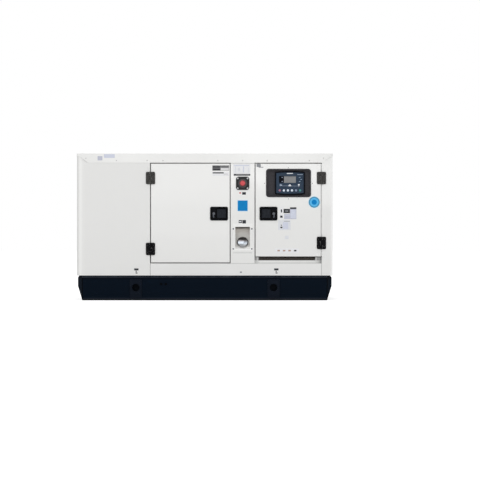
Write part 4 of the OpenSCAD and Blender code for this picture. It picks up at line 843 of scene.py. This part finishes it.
# The cap's rim carries a painted reflection: lighter at its bottom and top, dark between.
cap_edge_painted_reflection = finish("cap_edge_chrome_painted_reflection", ("Z", [
    (cap_low.z, (0.42, 0.42, 0.43)), (cap_low.z + 0.005, (0.3, 0.3, 0.31)),
    (cap_low.z + 0.015, (0.11, 0.11, 0.115)), (cap_low.z + 0.022, (0.028, 0.03, 0.028)),
    (cap_high.z - 0.013, (0.035, 0.032, 0.032)), (cap_high.z - 0.008, (0.14, 0.13, 0.125)),
    (cap_high.z - 0.004, (0.48, 0.465, 0.44)), (cap_high.z, (0.6, 0.585, 0.56))]), (90, 3, 0.2, 0.36), metallic=1.0)
cap_middle = (cap_low + cap_high) / 2
dress("fuel_cap", cap_chrome, 0.0012, 3, also=[
    (lambda face, middle: hypot(middle.x - cap_middle.x, (middle.z - cap_middle.z) * 1.05) > 0.0335, cap_edge_painted_reflection)])
screws("filler_screws", [(x, front_y - 0.002, z) for x in (0.2015, 0.3315) for z in (0.5035, 0.3625)], 0.0055, 0.0024,
    finish("rivet_grey", (0.11, 0.12, 0.15), (300, 2, 0.3, 0.5), metallic=0.5), 0.0016)

# Printed vinyl labels are stuck on the panels and doors. They are plain blocks here, with a little
# thickness and rounded corners.
LABEL_INKS = [print_ink("label_" + name, colour, roughness) for name, colour, roughness in (
    ("white", (0.74, 0.74, 0.75), 0.35), ("lilac", (0.66, 0.69, 0.8), 0.35), ("mist", (0.56, 0.575, 0.67), 0.35),
    ("grey", (0.3, 0.31, 0.33), 0.4), ("dark", (0.045, 0.046, 0.052), 0.4), ("blue", (0.006, 0.225, 0.56), 0.35),
    ("sky", (0.11, 0.5, 0.86), 0.35), ("cyan", (0.004, 0.225, 0.58), 0.35), ("rust", (0.46, 0.32, 0.26), 0.4),
    ("red", (0.6, 0.12, 0.13), 0.4), ("pale", (0.86, 0.865, 0.88), 0.35), ("faint", (0.76, 0.775, 0.81), 0.35),
    ("steel", (0.085, 0.29, 0.47), 0.35), ("ice", (0.66, 0.83, 0.92), 0.35), ("slate", (0.185, 0.185, 0.19), 0.4))]
WHITE, LILAC, MIST, GREY, DARK, BLUE, SKY, CYAN, RUST, RED, PALE, FAINT, STEEL, ICE, SLATE = range(15)
LABEL_FILM, LABEL_UNDER = 0.00025, 0.00005
SMALL, LARGE = 1, 1.5      # the corner radius in millimetres of a block under 700 square millimetres, and of others


def film(outline, number, level, face_y=front_y):
    return (outline, face_y - LABEL_FILM * (level + 1), face_y - LABEL_FILM * level + LABEL_UNDER, number)


def block(centre_x, centre_z, width, height, number, level=0, radius=None, face_y=front_y):
    radius = radius or (SMALL if width * height < 700 else LARGE)
    sides = (centre_x - width / 2, centre_x + width / 2, centre_z - height / 2, centre_z + height / 2)
    outline = corner_outline(*sides, min(radius, width / 3, height / 3), 3)
    return film([(x / 1000, z / 1000) for x, z in outline], number, level, face_y)


def labels(name, body, rows, discs=()):
    """One piece of blocks and discs, in millimetres. A disc is its centre, radius, ink and level."""
    plates(name, [film(ring_outline(x / 1000, z / 1000, radius / 1000, 48), number, level)
        for x, z, radius, number, level in discs] + [block(*row) for row in rows], LABEL_INKS, body)


labels("panel_labels", "housing", [
    (260.5, 925.5, 123, 68, PALE), (260.5, 949.5, 105, 6, LILAC, 1),
    (216.8, 922, 6, 45, FAINT, 1), (308.3, 917, 6, 34, FAINT, 1),
    (273.1, 922, 7, 42, LILAC, 1), (241.4, 921, 16, 24, FAINT, 1),
    (262.8, 883.4, 117.2, 13.7, SLATE), (213.3, 886.5, 13, 7, DARK, 1),
    (315.4, 885.5, 7, 8, DARK, 1), (250, 756, 13, 9, RED),
    (277, 753, 26, 18, DARK), (267.2, 666, 76, 81, ICE),
    (267.2, 666.2, 69.5, 73.5, BLUE, 1), (251, 555, 23, 21, DARK),
    (250, 555, 16, 7, FAINT, 1), (278, 553, 25, 25, DARK)])
labels("engine_door_labels", "engine_door", [
    (112.4, 931.5, 117.4, 37, SLATE), (82, 939, 50, 9, DARK, 1),
    (82, 922, 50, 11, DARK, 1), (140.8, 923.5, 56.4, 17.6, WHITE, 1),
    (112.4, 890, 115, 27, PALE), (95, 897.5, 78, 8.5, DARK, 1),
    (149, 887, 32, 14, WHITE, 1)])
labels("control_door_labels", "control_door", [
    (380, 950, 30, 22, GREY), (396, 937, 34, 5, GREY),
    (540, 634, 27, 48, PALE), (540.5, 630, 9, 21, DARK, 1),
    (577.5, 629, 45, 30, DARK), (577.5, 629, 22, 7, GREY, 1),
    (580, 590, 41, 36, MIST), (580, 599, 34, 4, LILAC, 1),
    (540, 589.5, 27, 34, PALE), (540, 589, 17, 15, DARK, 1),
    (623, 613, 45, 82, MIST), (623, 649, 45, 12, DARK, 1),
    (623, 608, 37, 58, LILAC, 1, SMALL), (561, 530, 88, 70, FAINT),
    (569, 526, 38, 48, LILAC, 1), (540, 513, 14, 10, DARK, 1),
    (540, 528, 8, 10, GREY, 1), (579, 557, 40, 4, GREY, 1),
    (577, 443, 26, 24, FAINT, 0, LARGE), (579, 350, 170, 34, PALE)]
    + [(x, 350, 17, 10, ink, 1)
       for x, ink in ((520.5, RUST), (559, RUST), (597.5, RUST), (637, DARK))],
    [(771, 691, 43, ICE, 0), (771, 691, 38.8, STEEL, 1), (771, 691, 31, SKY, 2),
     (771, 691, 18, CYAN, 3)])
labels("roof_labels", "housing", [(-671, 1016, 75, 26, LILAC, 0, LARGE, roof_low.y),
    (-737, 1000, 34, 30, MIST, 0, LARGE, roof_low.y)])
lift_rows = []
for x in (-481.5, 504):
    lift_rows += [(x, 218, 31, 14, DARK), (x - 1, 203.5, 6, 12, DARK), (x + 2, 192.5, 14, 6, DARK)]
labels("lifting_labels", "housing", lift_rows + [(254.9, 198, 14, 10, GREY)])

# The turbine set stands on a welded channel cradle, sprayed grey, and on six rubber feet. The photograph
# doesn't show it, so it is kept plain.
dress("set_cradle", finish("cradle_paint", (8, 5, (0.04, 0.047, 0.058), (0.062, 0.071, 0.085)), (50, 4, 0.34, 0.56),
    (450, 2, 0.00015, 0.5)), 0.0015)
foot_rubber = finish("foot_rubber", (60, 4, (0.014, 0.014, 0.015), (0.03, 0.03, 0.031)), (120, 3, 0.6, 0.85),
    (700, 2, 0.0001, 0.5))
dress("isolators", foot_rubber, 0.001)

# The turbine and its recuperator sit in a rolled drum of stainless sheet with three clamp bands. Heat
# has browned it towards the exhaust, where a flanged cone leads to the outlet.
drum_low, drum_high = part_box("recuperator_drum")
drum_length = drum_high.x - drum_low.x
heated_steel = finish("heated_steel", ("X", [
    (drum_low.x, (0.2, 0.155, 0.15)), (drum_low.x + 0.34 * drum_length, (0.43, 0.33, 0.2)),
    (drum_low.x + 0.8 * drum_length, (0.5, 0.49, 0.47)), (drum_high.x, (0.5, 0.49, 0.47))], 0.5, (7, 5, (1, 3, 3))),
    (18, 6, 0.28, 0.5, (1, 12, 12)), (220, 3, 0.00008, 0.5, (8, 1, 1)), metallic=1.0)
dress("recuperator_drum", heated_steel, 0.001)
dress("exhaust_duct", heated_steel, 0.0006)

pipe_steel = finish("pipe_steel", (40, 4, (0.48, 0.46, 0.43), (0.66, 0.65, 0.63)), (90, 3, 0.22, 0.42), metallic=1.0)
dress("fuel_manifold", pipe_steel, 0.0006)
shaft_y, shaft_z = (drum_low.y + drum_high.y) / 2, (drum_low.z + drum_high.z) / 2
DRUM_BOLTS, BOLT_CIRCLE = 12, 0.134
bolt_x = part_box("fuel_manifold")[0].x
bolt_turns = [tau * (i + 0.5) / DRUM_BOLTS for i in range(DRUM_BOLTS)]
screws("drum_bolts", [(bolt_x, shaft_y + BOLT_CIRCLE * cos(turn), shaft_z + BOLT_CIRCLE * sin(turn))
    for turn in bolt_turns], 0.0065, 0.005, pipe_steel, 0.003, facing=(1, 0, 0))

# The generator is a finned casting in blue-grey enamel with a bolted terminal box on top. In front of
# it a spun aluminium intake holds a pleated paper filter.
dress("generator", finish("generator_enamel", (10, 5, (0.085, 0.108, 0.13), (0.12, 0.148, 0.175)),
    (60, 3, 0.32, 0.52), (260, 3, 0.0003, 0.6)), 0.001)
gen_low, gen_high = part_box("generator")
screws("terminal_box_screws", [(gen_low.x + x, y, gen_high.z - 0.008) for x in (0.096, 0.234)
    for y in (-0.074, 0.074)], 0.005, 0.003, zinc_head, facing=(0, 0, 1))

spun_aluminium = finish("spun_aluminium", (30, 4, (0.54, 0.55, 0.56), (0.68, 0.69, 0.7), (12, 1, 1)),
    (50, 3, 0.22, 0.44, (20, 1, 1)), (160, 3, 0.00006, 0.4, (30, 1, 1)), metallic=1.0)
filter_paper = finish("filter_paper", (50, 5, (0.44, 0.35, 0.21), (0.58, 0.48, 0.31)), (100, 3, 0.85, 0.97),
    (900, 3, 0.0002, 0.6))
intake_low, intake_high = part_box("air_intake")
intake_bore = (intake_high.y - intake_low.y) / 2 - 0.003
dress("air_intake", spun_aluminium, 0.001, also=[(
    lambda face, middle: abs(face.normal.x) < 0.1 and gen_high.x + 0.1 < middle.x < intake_high.x - 0.03
    and hypot(middle.y - shaft_y, middle.z - shaft_z) < intake_bore, filter_paper)])

PLEATS = {"Pleats": 72, "Radius": 0.1355, "Length": 0.158, "Thickness": 0.0022}
pleat_tree, given, make = new_tree("filter_pleats", PLEATS)
pleat = make("MeshCube", make("CombineXYZ", 0.0055, given["Thickness"], given["Length"]))
circle = make("MeshCircle", Vertices=given["Pleats"], Radius=given["Radius"])
turned = make("FunctionNodeAlignRotationToVector", Vector=make("InputPosition"), axis="X")
ring = make("InstanceOnPoints", circle, Instance=pleat, Rotation=turned)
end_tree(pleat_tree, make("InstanceOnPoints", given["Geometry"], Instance=ring, Rotation=(0, radians(90), 0)),
    filter_paper)
grown("filter_pleats", [(gen_high.x + 0.165, shaft_y, shaft_z)], pleat_tree, PLEATS)

# The oil cooler stands behind the inlet louvres: a black frame round a core of thin aluminium fins.
dress("oil_cooler", deck_paint, 0.0015)
FINS = {"Fins": 68, "Pitch": 0.006, "Height": 0.326, "Fin thickness": 0.0012}
fin_tree, given, make = new_tree("cooler_fins", FINS)
line = make("MeshLine", Count=given["Fins"], Offset=make("CombineXYZ", Y=given["Pitch"]), mode="OFFSET")
fin = make("MeshCube", make("CombineXYZ", 0.008, given["Fin thickness"], given["Height"]))
fin_row = make("InstanceOnPoints", line, Instance=fin)
end_tree(fin_tree, make("InstanceOnPoints", given["Geometry"], Instance=fin_row), spun_aluminium)
cooler_low, cooler_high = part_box("oil_cooler")
inlet_low, inlet_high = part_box("inlet_louvres")
fin_z = (inlet_low.z + inlet_high.z) / 2
grown("cooler_fins", [(x, -0.201, fin_z) for x in (cooler_low.x + 0.0055, cooler_high.x - 0.0055)], fin_tree, FINS)

# The distribution cabinet is a grey steel box with a flat door and two quarter-turn locks. The battery
# beside it is moulded plastic with lead posts and six vent plugs.
dress("distribution_box", finish("cabinet_paint", (6, 4, (0.38, 0.39, 0.39), (0.45, 0.46, 0.46)), (60, 3, 0.34, 0.5),
    ORANGE_PEEL), 0.0012)
box_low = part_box("distribution_box")[0]
lock_x, lock_zs = box_low.x + 0.026, (0.52, 0.7)
plates("cabinet_locks", [(ring_outline(lock_x, z, 0.011, 32), box_low.y - 0.003, box_low.y + 0.0005, 0)
    for z in lock_zs] + [(slit_outline(lock_x, z, 0.0015, 0.006), box_low.y - 0.0034, box_low.y - 0.002, 1)
    for z in lock_zs], [black_screw, recess_dark], edge=0.0005)
battery_lead = finish("battery_lead", (0.36, 0.37, 0.38), (200, 3, 0.38, 0.6), metallic=0.9)
battery_low, battery_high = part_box("battery")
dress("battery", finish("battery_case", (30, 4, (0.018, 0.019, 0.022), (0.034, 0.035, 0.039)), (90, 3, 0.34, 0.56),
    (800, 2, 0.0001, 0.5)), 0.0012, also=[(lambda face, middle: middle.z > battery_high.z - 0.0155, battery_lead)])
plug_y, plug_z = battery_high.y - 0.094, battery_high.z - 0.016
screws("battery_plugs", [(battery_low.x + 0.045 + i * 0.028, plug_y, plug_z) for i in range(6)], 0.0085, 0.004,
       foot_rubber, 0.003, facing=(0, 0, 1))
